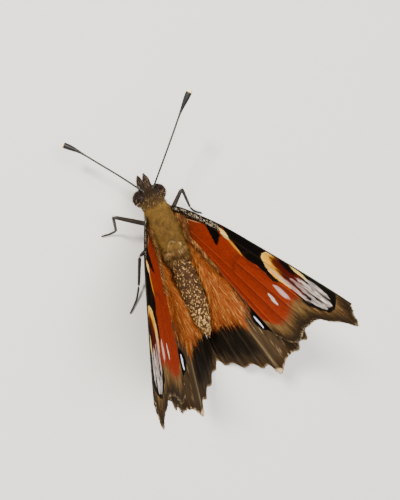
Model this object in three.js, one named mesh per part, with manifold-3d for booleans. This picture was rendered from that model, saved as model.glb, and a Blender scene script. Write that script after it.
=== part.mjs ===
// A peacock butterfly at rest with its four wings raised in a V, life-size and in millimetres.
// The head points along -Y, the animal's left is +X, +Z is up and the feet stand at Z = 0.

import * as THREE from "three";
import { mergeVertices } from "three/addons/utils/BufferGeometryUtils.js";
import Module from "manifold-3d";

const wasm = await Module();
wasm.setup();

// Sizes shared by the whole animal
const GAP = 0.3;             // clear space left where two parts meet
const STAND_HEIGHT = 7.3;    // from the floor up to the wing roots
const LEFT = 1;
const RIGHT = -1;

// Body sizes and places, measured from the middle of the wing roots
const THORAX = {
  front: -4.4, back: 4.3, halfWidth: 2.4, top: 1.7, bottom: -3.1, bluntness: 0.52, sides: 20, rings: 14,
};
const SCUTELLUM = { y: 2.9, height: 0.28, spread: 0.5 };
const ABDOMEN = {
  front: 4.3, back: 17.3, radius: 1.9, startZ: -0.6, endZ: -1.6, lean: 0.4,
  slimFront: 0.35, bluntness: 3.4, grooves: 0.05, segments: 9, sides: 16,
  swellFrom: 0.16, swellOver: 0.5, swellPower: 0.8, leastRadius: 0.35,
};
const HEAD = { centre: [0, -5.3, -1.4], radii: [1.55, 1.4, 1.5] };
const EYE = { radius: 0.98, side: 1.5, y: -5.5, z: -1.4 };
const PALP = { root: [0.65, -6.2, -2.2], bend: [0.65, -7.5, -1.95], tip: [0.45, -8.85, -1.2] };
const PALP_RADII = [0.4, 0.42, 0.2];
const COIL = { centre: [0, -6.9, -3.65], outer: 1.15, inner: 0.45, turns: 1.4, thickness: 0.5 };

// Wing placement: root point, and the angles of dihedral, sweep and twist in degrees
const FORE_ROOT = [2.2, -1.2, 0];
const HIND_ROOT = [1.9, 2.2, -1.1];
const HIND_DROOP = 1.2;
const BELLY_TUCK = 1.5;      // how far the hindwings' inner fields dip to pass the abdomen
const TUCK_WIDTH = 5.5;
const FORE_ANGLES = { left: [67.5, 30.8, 10.3], right: [70.5, 31.3, 11.5] };
const HIND_ANGLES = { left: [53, 31.7, 0], right: [53, 30.4, 0] };
const MEMBRANE = 0.5;
const VEIN_RIDGE = 0.12;
const WING_ROWS = 14;
const WING_PITCH = MEMBRANE + 2 * VEIN_RIDGE + GAP;  // from one wing's middle to the next one's
const PARTING = 4;           // how far past the forewing the hindwing leaves its plane

// Forewing outline in its own plane: X runs out along the costa, Y back to the tornus.
// The margin list holds vein ends and, between two of them, the middle of the cell.
const FORE = {
  root: [[0, -1.0], [0.2, 0.6], [1.2, 2.4]],
  costa: [[0, -1.0], [5, -1.7], [10.5, -1.8], [16, -1.1], [22, -0.1], [27, 0.9], [29.4, 1.5]],
  margin: [
    [29.4, 1.5], [29.6, 3.0], [30.2, 4.4], [28.3, 5.2], [26.4, 6.1], [24.7, 6.9], [23.4, 8.5],
    [22.2, 10.2], [21.7, 12.0], [20.8, 13.6], [19.2, 14.6], [18.0, 14.8], [16.9, 14.8],
  ],
  inner: [[1.2, 2.4], [6, 6.3], [12, 11.2], [16.9, 14.8]],
  cellEnd: 0.5,
  starts: [0, 0, 0.5, 0.5, 0, 0.3, 0],
};

// Hindwing outline in its own plane, with the short tail at the fourth vein end
const HIND = {
  root: [[0, -1.0], [-0.2, 0.6], [0, 2.0]],
  costa: [[0, -1.0], [5, -1.8], [12, -1.2], [17.5, 0.6], [20.8, 3.4]],
  margin: [
    [20.8, 3.4], [20.9, 5.0], [21.6, 6.4], [20.7, 8.0], [21.0, 9.6], [19.6, 11.0], [19.5, 12.8],
    [17.9, 14.8], [16.9, 18.5], [14.9, 17.8], [13.8, 19.0], [12.0, 19.0], [10.4, 20.6],
    [8.4, 20.6], [6.8, 21.8], [5.6, 21.4], [4.6, 21.2],
  ],
  inner: [[0, 2.0], [0.6, 6], [1.7, 12], [3.2, 18], [4.6, 21.2]],
  cellEnd: 0.42,
  starts: [0, 0, 0.42, 0.42, 0.42, 0, 0.25, 0, 0],
};

// Legs as the joints of each: hip, trochanter, knee, ankle, mid foot and claw root
const MID_LEG = {
  left: [
    [1.2, -1.4, -2.2], [2.7, -2.4, -2.6], [6.2, -4.6, -0.9],
    [6.3, -2.9, -5.9], [7.4, -2.9, -6.8], [8.7, -3.1, -7.05],
  ],
  right: [
    [-1.2, -1.4, -2.2], [-2.6, -2.4, -2.6], [-4.9, -4.6, -1.1],
    [-6.1, -1.7, -5.9], [-6.8, -0.9, -6.8], [-7.9, -0.1, -7.05],
  ],
};
const HIND_LEG = {
  left: [
    [0.8, 0.9, -2.4], [2.3, 1.3, -3.6], [4.9, 2.2, -2.7],
    [6.6, 6.4, -5.9], [7.8, 8.3, -6.8], [9.6, 9.9, -7.05],
  ],
  right: [
    [-0.8, 0.9, -2.4], [-2.3, 1.3, -3.6], [-4.9, 2.2, -2.7],
    [-6.6, 6.4, -5.9], [-7.8, 8.3, -6.8], [-9.6, 9.9, -7.05],
  ],
};
const THIGH_RADII = [0.5, 0.42, 0.34];
const SHIN_RADII = [0.36, 0.3];
const FOOT_RADII = [0.3, 0.26, 0.25];
const FORELEG = [[0.9, -3.3, -2.4], [1.25, -4.6, -3.5], [1.1, -5.6, -4.1], [0.95, -6.5, -4.3]];
const FORELEG_RADII = [0.45, 0.4, 0.36, 0.25];

// Antennae from the brow to the tip of the club
const ANTENNA = {
  left: [[0.6, -6.1, -0.4], [2.7, -9.2, -0.4], [5.0, -12.6, -1.0], [7.0, -15.5, -1.6], [8.6, -17.2, -2.0]],
  right: [[-0.6, -6.1, -0.4], [-3.5, -9.1, 1.0], [-6.1, -11.9, 2.0], [-8.4, -14.4, 3.0], [-10.6, -16.5, 4.1]],
};
const SHAFT_RADIUS = 0.25;
const CLUB_RADIUS = 0.5;
const CLUB_START = 0.82;
const CLUB_FULL = 0.93;
const CLUB_ROUNDING = 0.955;

// Surface finishes of the solids
const finish = (color, roughness) => new THREE.MeshStandardMaterial({ color, roughness, metalness: 0 });
const FUR = finish(0x6b5a2c, 0.9);
const BELLY = finish(0x3a2b1c, 0.85);
const EYE_GLOSS = finish(0x2a1a14, 0.35);
const HORN = finish(0x17110d, 0.5);
const FORE_SCALES = finish(0xa5341a, 0.7);
const HIND_SCALES = finish(0x7a5236, 0.75);

// Turns loose quads and fans between rings of points into one closed geometry
function loft(rings) {
  const sides = rings[0].length;
  const points = rings.flat();
  const centreOf = (ring) => ring.reduce((sum, p) => sum.add(p), new THREE.Vector3()).divideScalar(sides);
  const first = points.push(centreOf(rings[0])) - 1;
  const last = points.push(centreOf(rings[rings.length - 1])) - 1;
  const faces = [];
  for (let i = 0; i < sides; i += 1) {
    const next = (i + 1) % sides;
    faces.push(first, next, i);
    for (let r = 0; r < rings.length - 1; r += 1) {
      const a = r * sides + i;
      const b = r * sides + next;
      faces.push(a, b, a + sides, b, b + sides, a + sides);
    }
    const end = (rings.length - 1) * sides;
    faces.push(last, end + i, end + next);
  }
  return outward(points, faces);
}

// Makes a geometry whose faces point out, whichever way its rings were given
function outward(points, faces) {
  const cross = new THREE.Vector3();
  let volume = 0;
  for (let f = 0; f < faces.length; f += 3) {
    const [a, b, c] = [points[faces[f]], points[faces[f + 1]], points[faces[f + 2]]];
    volume += a.dot(cross.crossVectors(b, c));
  }
  const order = volume < 0 ? faces.slice().reverse() : faces;
  const geometry = new THREE.BufferGeometry();
  geometry.setAttribute("position", new THREE.Float32BufferAttribute(points.flatMap((p) => p.toArray()), 3));
  geometry.setIndex(order);
  return geometry;
}

// A round limb along a smooth path, its radius running through the listed radii
function limb(places, radii, sides = 8, steps = 6) {
  const curve = new THREE.CatmullRomCurve3(places.map((p) => new THREE.Vector3(...p)), false, "centripetal");
  const count = steps * (places.length - 1);
  const frames = curve.computeFrenetFrames(count, false);
  const rings = [];
  for (let r = 0; r <= count; r += 1) {
    const u = r / count;
    const centre = curve.getPointAt(u);
    const radius = typeof radii === "function" ? radii(u) : between(radii, u);
    const ring = [];
    for (let i = 0; i < sides; i += 1) {
      const angle = (2 * Math.PI * i) / sides;
      const out = frames.normals[r].clone().multiplyScalar(Math.cos(angle));
      out.addScaledVector(frames.binormals[r], Math.sin(angle));
      ring.push(centre.clone().addScaledVector(out, radius));
    }
    rings.push(ring);
  }
  return loft(rings);
}

// Reads an evenly spaced list of numbers at a place from 0 to 1
function between(values, u) {
  const place = Math.min(u, 0.9999) * (values.length - 1);
  const low = Math.floor(place);
  return THREE.MathUtils.lerp(values[low], values[low + 1], place - low);
}

// Closed solids for cutting and joining
function solidOf(geometry) {
  const bare = geometry.clone();
  bare.deleteAttribute("normal");
  bare.deleteAttribute("uv");
  const merged = mergeVertices(bare, 1e-4);
  return new wasm.Manifold(new wasm.Mesh({
    numProp: 3,
    vertProperties: new Float32Array(merged.attributes.position.array),
    triVerts: new Uint32Array(merged.index.array),
  }));
}

// Back to a geometry, keeping the largest closed surface only
function geometryOf(solid) {
  const pieces = solid.decompose().sort((a, b) => b.volume() - a.volume());
  const mesh = pieces[0].getMesh();
  const geometry = new THREE.BufferGeometry();
  const positions = [];
  for (let v = 0; v < mesh.vertProperties.length; v += mesh.numProp) {
    positions.push(...mesh.vertProperties.slice(v, v + 3));
  }
  geometry.setAttribute("position", new THREE.Float32BufferAttribute(positions, 3));
  geometry.setIndex(Array.from(mesh.triVerts));
  return geometry;
}

function joined(...geometries) {
  return geometryOf(geometries.map(solidOf).reduce((whole, piece) => whole.add(piece)));
}

// Cuts a placed part clear of its neighbours, which are given in the animal's own frame
function cutClear(mesh, ...neighbours) {
  mesh.updateMatrix();
  const inward = mesh.matrix.clone().invert();
  const cutters = neighbours.map((shape) => solidOf(shape.clone().applyMatrix4(inward)));
  mesh.geometry = geometryOf(cutters.reduce((left, cutter) => left.subtract(cutter), solidOf(mesh.geometry)));
  return mesh;
}

// Thorax: a barrel, high at the shoulders, with the shield-shaped scutellum behind
function thoraxShape(grow = 0) {
  const rings = [];
  const middle = (THORAX.top + THORAX.bottom) / 2;
  const halfHeight = (THORAX.top - THORAX.bottom) / 2;
  for (let r = 0; r <= THORAX.rings; r += 1) {
    const angle = Math.PI * (0.03 + (0.94 * r) / THORAX.rings);
    const along = -Math.cos(angle);
    const full = Math.pow(Math.sin(angle), THORAX.bluntness);
    const y = THREE.MathUtils.lerp(THORAX.front - grow, THORAX.back + grow, (along + 1) / 2);
    const scutellum = SCUTELLUM.height * Math.exp(-((y - SCUTELLUM.y) ** 2) / SCUTELLUM.spread);
    const ring = [];
    for (let i = 0; i < THORAX.sides; i += 1) {
      const a = (2 * Math.PI * i) / THORAX.sides;
      const crest = Math.max(0, Math.sin(a)) ** 6 * scutellum;
      ring.push(new THREE.Vector3(
        Math.cos(a) * (THORAX.halfWidth * full + grow),
        y,
        middle + Math.sin(a) * (halfHeight * full + grow) + crest,
      ));
    }
    rings.push(ring);
  }
  return loft(rings);
}

// Abdomen: ringed segments that swell, lean a little to the left and taper to a blunt tip
function abdomenShape(grow = 0) {
  const rings = [];
  const count = ABDOMEN.segments * 4;
  for (let r = 0; r <= count; r += 1) {
    const u = r / count;
    const swell = Math.sin(Math.PI * (ABDOMEN.swellFrom + ABDOMEN.swellOver * u)) ** ABDOMEN.swellPower;
    const taper = Math.sqrt(Math.max(0, 1 - Math.pow(u, ABDOMEN.bluntness)));
    const waist = 1 - ABDOMEN.grooves * Math.cos(2 * Math.PI * u * ABDOMEN.segments);
    const width = THREE.MathUtils.lerp(ABDOMEN.slimFront, 1, swell) * taper * waist;
    const radius = Math.max(ABDOMEN.leastRadius, ABDOMEN.radius * width) + grow;
    const y = THREE.MathUtils.lerp(ABDOMEN.front - grow, ABDOMEN.back + grow, u);
    const z = THREE.MathUtils.lerp(ABDOMEN.startZ, ABDOMEN.endZ, u);
    const ring = [];
    for (let i = 0; i < ABDOMEN.sides; i += 1) {
      const a = (2 * Math.PI * i) / ABDOMEN.sides;
      ring.push(new THREE.Vector3(ABDOMEN.lean * u * u + Math.cos(a) * radius, y, z + Math.sin(a) * radius));
    }
    rings.push(ring);
  }
  return loft(rings);
}

function headShape(grow = 0) {
  const shape = new THREE.SphereGeometry(1, 22, 14);
  shape.scale(HEAD.radii[0] + grow, HEAD.radii[1] + grow, HEAD.radii[2] + grow);
  return shape.translate(...HEAD.centre);
}

// Wing surface: four edge curves blended, with the veins raised along lines from root to margin
function wingShape(wing, side, heightAt) {
  const curve = (list) => new THREE.SplineCurve(list.map((p) => new THREE.Vector2(...p)));
  const [root, costa, inner, margin] = [wing.root, wing.costa, wing.inner, wing.margin].map(curve);
  const place = (s, t) => {
    const point = costa.getPointAt(s).multiplyScalar(1 - t).addScaledVector(inner.getPointAt(s), t);
    point.addScaledVector(root.getPoint(t), 1 - s).addScaledVector(margin.getPoint(t), s);
    point.addScaledVector(root.getPoint(0), -(1 - s) * (1 - t)).addScaledVector(root.getPoint(1), -(1 - s) * t);
    return point.addScaledVector(margin.getPoint(0), -s * (1 - t)).addScaledVector(margin.getPoint(1), -s * t);
  };
  const cells = wing.starts.length - 1;
  const columns = [];
  for (let cell = 0; cell < cells; cell += 1) {
    columns.push([cell, cell], [cell + 0.24, -1], [cell + 0.76, -1]);
  }
  columns.push([cells, cells]);
  const rows = WING_ROWS;
  const faces = { top: [], bottom: [] };
  for (let r = 0; r <= rows; r += 1) {
    const s = r / rows;
    for (const [t, vein] of columns) {
      const point = place(s, t / cells);
      const lies = vein >= 0 && s >= wing.starts[vein];
      const cross = Math.abs(s - wing.cellEnd) < 0.03 && t > 1 && t < cells - 2;
      const ridge = lies || cross ? VEIN_RIDGE : 0;
      const height = heightAt(point.x, point.y);
      const half = MEMBRANE / 2 + ridge;
      faces.top.push(new THREE.Vector3(side * point.x, point.y, height + half));
      faces.bottom.push(new THREE.Vector3(side * point.x, point.y, height - half));
    }
  }
  const width = columns.length;
  const below = faces.top.length;
  const order = [];
  const quad = (a, b, c, d) => order.push(a, b, c, a, c, d);
  for (let r = 0; r < rows; r += 1) {
    for (let c = 0; c < width - 1; c += 1) {
      const a = r * width + c;
      quad(a, a + 1, a + width + 1, a + width);
      quad(below + a, below + a + width, below + a + width + 1, below + a + 1);
    }
    const start = r * width;
    const end = start + width - 1;
    quad(start, start + width, below + start + width, below + start);
    quad(end, below + end, below + end + width, end + width);
  }
  for (let c = 0; c < width - 1; c += 1) {
    const far = rows * width + c;
    quad(c, below + c, below + c + 1, c + 1);
    quad(far, far + 1, below + far + 1, below + far);
  }
  return outward([...faces.top, ...faces.bottom], order);
}

function antennaShape(places) {
  const radius = (u) => {
    const club = THREE.MathUtils.smoothstep(u, CLUB_START, CLUB_FULL);
    const tip = Math.sqrt(Math.max(0.04, 1 - Math.max(0, (u - CLUB_ROUNDING) / (1 - CLUB_ROUNDING)) ** 2));
    return (SHAFT_RADIUS + (CLUB_RADIUS - SHAFT_RADIUS) * club) * tip;
  };
  return limb(places, radius, 8, 6);
}

// Leg: three tapered lengths joined at the knee and the ankle
function legShape(places) {
  const femur = limb(places.slice(0, 3), THIGH_RADII, 8, 4);
  const tibia = limb(places.slice(2, 4), SHIN_RADII, 8, 3);
  const foot = limb(places.slice(3, 6), FOOT_RADII, 8, 4);
  return joined(femur, tibia, foot);
}

function coilShape() {
  const places = [];
  const steps = 14;
  for (let i = 0; i <= steps; i += 1) {
    const angle = Math.PI * 0.4 - (2 * Math.PI * COIL.turns * i) / steps;
    const radius = THREE.MathUtils.lerp(COIL.outer, COIL.inner, i / steps) - COIL.thickness / 2;
    places.push([0, COIL.centre[1] - Math.cos(angle) * radius, COIL.centre[2] + Math.sin(angle) * radius]);
  }
  return limb(places, [COIL.thickness / 2, COIL.thickness / 2], 6, 2);
}

function named(name, geometry, material) {
  const mesh = new THREE.Mesh(geometry, material);
  mesh.name = name;
  return mesh;
}

// Places a wing by its root point and its angles; both wings of a pair are mirror forms
function setWing(object, rootPoint, angles, side) {
  const [dihedral, sweep, twist] = angles.map(THREE.MathUtils.degToRad);
  object.position.set(side * rootPoint[0], rootPoint[1], rootPoint[2]);
  object.rotation.set(-twist, -side * dihedral, side * sweep, "YZX");
  object.updateMatrix();
  return object;
}

// Height of the hindwing in its own plane: close under the forewing where that covers it,
// then falling away into the trough that the two hindwings make round the abdomen
function hindHeight(foreAngles, hindAngles) {
  const fore = setWing(new THREE.Object3D(), FORE_ROOT, foreAngles, LEFT);
  const hind = setWing(new THREE.Object3D(), HIND_ROOT, hindAngles, LEFT);
  const toFore = fore.matrix.clone().invert().multiply(hind.matrix);
  const up = new THREE.Vector3(0, 0, 1).transformDirection(toFore);
  const [rootX, rootY] = FORE.inner[0];
  const [tornusX, tornusY] = FORE.inner[FORE.inner.length - 1];
  const slope = (tornusY - rootY) / (tornusX - rootX);
  return (x, y) => {
    const seen = new THREE.Vector3(x, y, 0).applyMatrix4(toFore);
    const under = -(seen.z + WING_PITCH) / up.z;
    const past = seen.y - (rootY + slope * (seen.x - rootX));
    const beside = 1 - THREE.MathUtils.smoothstep(x, 1, TUCK_WIDTH);
    const trough = -HIND_DROOP * (Math.max(0, y) / 14) ** 2 - BELLY_TUCK * beside;
    return THREE.MathUtils.lerp(under, trough, THREE.MathUtils.smoothstep(past, 0.6, PARTING));
  };
}

const mirrored = (places) => places.map(([x, y, z]) => [-x, y, z]);

// The animal, placed from the middle of its wing roots
const animal = new THREE.Group();
const floor = new THREE.BoxGeometry(120, 120, 10).translate(0, 0, -STAND_HEIGHT - 5);
const middleCut = new THREE.BoxGeometry(GAP, 80, 80);
const thoraxCut = thoraxShape(GAP);
const abdomenCut = abdomenShape(GAP);
const headCut = headShape(GAP);

animal.add(named("thorax", thoraxShape(), FUR));
animal.add(cutClear(named("abdomen", abdomenShape(), BELLY), thoraxCut));

const head = named("head", headShape(), FUR);
const eyeAt = (side, radius) =>
  new THREE.SphereGeometry(radius, 18, 12).translate(side * EYE.side, EYE.y, EYE.z);
animal.add(cutClear(head, thoraxCut, eyeAt(LEFT, EYE.radius + GAP), eyeAt(RIGHT, EYE.radius + GAP)));

for (const [side, tag] of [[LEFT, "l"], [RIGHT, "r"]]) {
  const key = side === LEFT ? "left" : "right";
  const handed = (places) => (side === LEFT ? places : mirrored(places));
  const eyeCut = eyeAt(side, EYE.radius + GAP);
  animal.add(named(`eye_${tag}`, eyeAt(side, EYE.radius), EYE_GLOSS));
  const palp = limb(handed([PALP.root, PALP.bend, PALP.tip]), PALP_RADII, 8, 4);
  animal.add(cutClear(named(`palp_${tag}`, palp, FUR), headCut, eyeCut));
  animal.add(cutClear(named(`antenna_${tag}`, antennaShape(ANTENNA[key]), HORN), headCut, eyeCut));
  const fore = named(`forewing_${tag}`, wingShape(FORE, side, () => 0), FORE_SCALES);
  animal.add(cutClear(setWing(fore, FORE_ROOT, FORE_ANGLES[key], side), thoraxCut));
  const height = hindHeight(FORE_ANGLES[key], HIND_ANGLES[key]);
  const hind = named(`hindwing_${tag}`, wingShape(HIND, side, height), HIND_SCALES);
  setWing(hind, HIND_ROOT, HIND_ANGLES[key], side);
  animal.add(cutClear(hind, thoraxCut, abdomenCut, middleCut, floor));
  const brushLeg = limb(handed(FORELEG), FORELEG_RADII, 8, 3);
  animal.add(cutClear(named(`foreleg_${tag}`, brushLeg, HORN), thoraxCut, headCut));
  animal.add(cutClear(named(`midleg_${tag}`, legShape(MID_LEG[key]), HORN), thoraxCut, floor));
  animal.add(cutClear(named(`hindleg_${tag}`, legShape(HIND_LEG[key]), HORN), thoraxCut, floor));
}
animal.add(cutClear(named("proboscis", coilShape(), HORN), headCut));

// The floor is Z = 0, and the origin lies under the middle of the animal
const box = new THREE.Box3().setFromObject(animal, true);
const middle = box.getCenter(new THREE.Vector3());
animal.position.set(-middle.x, -middle.y, -box.min.z);

const butterfly = new THREE.Group();
butterfly.add(animal);

export default butterfly;
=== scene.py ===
"""Peacock butterfly: wings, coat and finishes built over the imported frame.

Lengths are in millimetres in the animal's own frame, whose origin is the middle of the wing
roots, with the head along -Y and the animal's left along +X. They become metres when a piece
is made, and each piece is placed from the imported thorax.
"""

from __future__ import annotations

import logging
import math
from dataclasses import dataclass, field
from enum import Enum
from typing import TypeAlias

import bmesh
import bpy
import numpy as np
from mathutils import Matrix, Vector

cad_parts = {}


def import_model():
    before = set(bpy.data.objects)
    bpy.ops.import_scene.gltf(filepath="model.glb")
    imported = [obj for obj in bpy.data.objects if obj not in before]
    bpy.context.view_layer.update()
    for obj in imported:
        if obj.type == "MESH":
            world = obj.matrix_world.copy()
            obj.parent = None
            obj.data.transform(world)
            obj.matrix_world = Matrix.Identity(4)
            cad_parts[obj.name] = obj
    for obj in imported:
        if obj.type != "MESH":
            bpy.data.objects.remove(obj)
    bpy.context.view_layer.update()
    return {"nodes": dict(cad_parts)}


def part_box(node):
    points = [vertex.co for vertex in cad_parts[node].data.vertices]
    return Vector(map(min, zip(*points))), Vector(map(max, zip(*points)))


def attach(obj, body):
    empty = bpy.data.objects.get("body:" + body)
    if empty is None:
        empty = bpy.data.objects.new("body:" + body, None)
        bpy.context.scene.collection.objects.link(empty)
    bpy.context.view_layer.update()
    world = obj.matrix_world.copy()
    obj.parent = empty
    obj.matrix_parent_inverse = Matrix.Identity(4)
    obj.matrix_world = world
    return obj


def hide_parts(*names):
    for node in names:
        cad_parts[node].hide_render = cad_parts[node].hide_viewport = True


LOG = logging.getLogger("butterfly")

MM = 0.001
BODY = "root"
CURVE_STEPS = 400

# Each kind of hair draws its chances from a seed of its own
BRISTLE_SEED = 20
FIELD_SEED = 20
ROOT_SEED = 23
FRINGE_SEED = 25
COSTAL_SEED = 29
INNER_SEED = 32
BODY_SEED = 60
PALP_SEED = 80
LASH_SEED = 100

# Heights over the floor, and places along the body
STAND_HEIGHT = 7.3
FLOOR_CLEAR = 0.02
THORAX_FRONT = -4.38
NECK = -4.4
WAIST = 4.2

# How the wings' flat map is scaled to fit from 0 to 1, and the range that noise keeps to
PLANE_SPAN = 50.0
PLANE_SHIFT = 10.0
NOISE_LOW = 0.3
NOISE_HIGH = 0.7

# A hair has three corners at its root, three at its bend and a tip
HAIR_CORNERS = 7
HAIR_FACES = ((0, 1, 4), (0, 4, 3), (1, 2, 5), (1, 5, 4), (2, 0, 3), (2, 3, 5), (3, 4, 6), (4, 5, 6),
              (5, 3, 6), (0, 2, 1))
HAIR_PATCH = ((0, 0), (1, 0), (0.5, 1), (0, 0.4), (1, 0.4), (0.5, 0.6), (0.5, 1))
PATCH_SPAN = 0.003

Point: TypeAlias = tuple[float, float, float]
Colour: TypeAlias = tuple[float, float, float]


def linear(red: int, green: int, blue: int) -> Colour:
    """A colour as seen on screen, made linear for the shaders.

    Args:
        red: its red, from 0 to 255.
        green: its green.
        blue: its blue.

    Returns:
        The colour, from 0 to 1.
    """
    def one(value: int) -> float:
        """One of the three, made linear."""
        share = value / 255
        return share / 12.92 if share <= 0.04045 else ((share + 0.055) / 1.055) ** 2.4
    return (one(red), one(green), one(blue))


# Colours of the animal
RUST = linear(178, 62, 26)
RUST_DEEP = linear(106, 28, 12)
BURNT = linear(100, 44, 10)
ROOT_BROWN = linear(84, 46, 20)
SOOT = linear(6, 4, 3)
CREAM = linear(255, 222, 128)
AMBER = linear(255, 184, 50)
LILAC = linear(226, 190, 184)
WHITE_SCALE = linear(240, 226, 216)
MAROON = linear(74, 16, 5)
OLIVE_BROWN = linear(120, 89, 50)
OLIVE_GOLD = linear(176, 142, 84)
DARK_BROWN = linear(42, 29, 16)
GREY_BROWN = linear(70, 56, 38)
TAN = linear(214, 184, 136)
ORANGE_HAIR = linear(196, 102, 34)
GOLD_HAIR = linear(232, 168, 84)
BARK = linear(36, 29, 23)
BARK_PALE = linear(88, 74, 56)
OLIVE_FUR = linear(148, 112, 50)
OLIVE_DARK = linear(84, 60, 24)
BELLY_DARK = linear(38, 25, 12)
SPECKLE = linear(230, 186, 116)
HORN_DARK = linear(26, 18, 12)
EYE_BROWN = linear(38, 19, 11)
FACE_DARK = linear(44, 30, 17)
SHIELD_RIM = linear(224, 194, 132)
COLLAR_DARK = linear(42, 29, 14)
COLLAR_LIGHT = linear(104, 76, 36)
COLLAR_PALE = linear(214, 178, 118)
WAIST_DARK = linear(66, 45, 18)
WAIST_LIGHT = linear(144, 106, 52)
WAIST_PALE = linear(216, 178, 118)
BELLY_LIGHT = linear(92, 60, 29)
FACE_BLACK = linear(24, 16, 9)
FACE_LIGHT = linear(72, 51, 27)
FACE_PALE = linear(222, 186, 128)
LASH_DARK = linear(22, 14, 9)
LASH_LIGHT = linear(58, 38, 24)
LASH_PALE = linear(226, 190, 140)
ROOT_DARK = linear(62, 34, 14)
ROOT_LIGHT = linear(132, 80, 34)
ROOT_GOLD = linear(226, 170, 96)
PALP_DARK = linear(20, 13, 8)
PALP_LIGHT = linear(50, 34, 21)
PALP_PALE = linear(196, 164, 118)
LEG_DARK = linear(30, 21, 15)
LEG_LIGHT = linear(66, 48, 32)
LEG_PALE = linear(120, 94, 64)
ORANGE_DARK = linear(112, 50, 12)
FRINGE_LIGHT = linear(98, 79, 53)
COSTA_DARK = linear(24, 16, 10)
COSTA_PALE = linear(240, 222, 186)
HORN_BLACK = linear(12, 9, 7)
RING_PALE = linear(222, 214, 196)
CLUB_PALE = linear(250, 232, 176)
EYE_BLACK = linear(16, 9, 6)
SKY_BLUE = linear(120, 140, 196)
ICE = linear(214, 220, 236)
FLOOR_PALE = linear(222, 220, 214)


class Anchor:
    """Turns places in the animal's frame into the scene's metres."""

    def __init__(self) -> None:
        """Finds the wing roots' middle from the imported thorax."""
        low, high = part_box("thorax")
        self.origin = Vector(((low[0] + high[0]) / 2, low[1] - THORAX_FRONT * MM, STAND_HEIGHT * MM))

    def point(self, place: Point) -> Vector:
        """One place as a scene vector."""
        return Vector(place) * MM + self.origin

    def points(self, places: np.ndarray) -> np.ndarray:
        """Many places, as rows of three numbers."""
        return places * MM + np.array(self.origin)


class Track:
    """A smooth curve through listed points."""

    def __init__(self, points: list[tuple[float, ...]]) -> None:
        """Keeps the points.

        Args:
            points: the points that the curve passes, in order.
        """
        self.points = np.array(points, dtype=float)
        grid = np.linspace(0, 1, CURVE_STEPS)
        steps = np.linalg.norm(np.diff(self.at(grid), axis=0), axis=1)
        self.grid = grid
        self.lengths = np.concatenate([[0], np.cumsum(steps)])

    def at(self, share: np.ndarray) -> np.ndarray:
        """Places at shares of the list of points.

        Args:
            share: shares from 0 to 1.

        Returns:
            One place a row.
        """
        share = np.atleast_1d(np.asarray(share, dtype=float))
        last = len(self.points) - 1
        place = np.clip(share, 0, 1) * last
        low = np.minimum(place.astype(int), last - 1)
        weight = (place - low)[:, None]
        before, start = self.points[np.maximum(low - 1, 0)], self.points[low]
        end, after = self.points[low + 1], self.points[np.minimum(low + 2, last)]
        leave, arrive = (end - before) / 2, (after - start) / 2
        cubic = (2 * start - 2 * end + leave + arrive) * weight**3
        square = (-3 * start + 3 * end - 2 * leave - arrive) * weight**2
        return cubic + square + leave * weight + start

    def along(self, share: np.ndarray) -> np.ndarray:
        """Places at shares of the curve's length, from 0 to 1."""
        wanted = np.atleast_1d(share) * self.lengths[-1]
        return self.at(np.interp(wanted, self.lengths, self.grid))


def smooth(value: np.ndarray, low: float, high: float) -> np.ndarray:
    """Eased step from 0 at low to 1 at high."""
    share = np.clip((value - low) / (high - low), 0, 1)
    return share * share * (3 - 2 * share)


def unit(rows: np.ndarray) -> np.ndarray:
    """Each row made one long."""
    return rows / np.linalg.norm(rows, axis=1)[:, None]


# Shader maths
Number: TypeAlias = "Field | float"


class Field:
    """A shader value with Python's arithmetic, so that patterns read as formulas."""

    def __init__(self, maker: Maker, socket: bpy.types.NodeSocket) -> None:
        """Wraps one output socket of a maker's node tree."""
        self.maker = maker
        self.socket = socket

    def _math(self, operation: str, *values: Number, clamp: bool = False) -> Field:
        """A Math node on values, of which this may be one."""
        return self.maker.node("ShaderNodeMath", {"operation": operation, "use_clamp": clamp}, list(values))

    def __add__(self, other: Number) -> Field:
        """Sum."""
        return self._math("ADD", self, other)

    __radd__ = __add__

    def __sub__(self, other: Number) -> Field:
        """Difference."""
        return self._math("SUBTRACT", self, other)

    def __rsub__(self, other: Number) -> Field:
        """Difference from a number."""
        return self._math("SUBTRACT", other, self)

    def __mul__(self, other: Number) -> Field:
        """Product."""
        return self._math("MULTIPLY", self, other)

    __rmul__ = __mul__

    def __truediv__(self, other: Number) -> Field:
        """Quotient."""
        return self._math("DIVIDE", self, other)

    def absolute(self) -> Field:
        """Size without its sign."""
        return self._math("ABSOLUTE", self)

    def root(self) -> Field:
        """Square root."""
        return self._math("SQRT", self)

    def wave(self) -> Field:
        """Sine."""
        return self._math("SINE", self)

    def most(self, other: Number) -> Field:
        """The larger of two."""
        return self._math("MAXIMUM", self, other)

    def clamped(self) -> Field:
        """Kept from 0 to 1."""
        return self._math("ADD", self, 0.0, clamp=True)

    def step(self, low: float, high: float) -> Field:
        """Eased step.

        Args:
            low: where it is 0, which may be the larger of the two.
            high: where it is 1.

        Returns:
            The step.
        """
        settings = {"interpolation_type": "SMOOTHSTEP"}
        if low < high:
            return self.maker.node("ShaderNodeMapRange", settings, [self, low, high, 0.0, 1.0])
        return self.maker.node("ShaderNodeMapRange", settings, [self, high, low, 1.0, 0.0])

    def curve(self, stops: list[tuple[float, float]]) -> Field:
        """A number read from straight lines between stops.

        Args:
            stops: pairs of where on this value, and what the number is there.

        Returns:
            The number, held level past the first and the last stop.
        """
        low, high = stops[0][0], stops[-1][0]
        base = min(value for _, value in stops)
        span = max(value for _, value in stops) - base
        ramp = [((at - low) / (high - low), ((value - base) / span,) * 3) for at, value in stops]
        return self.maker.ramp((self - low) / (high - low), ramp, grey=True) * span + base


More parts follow.
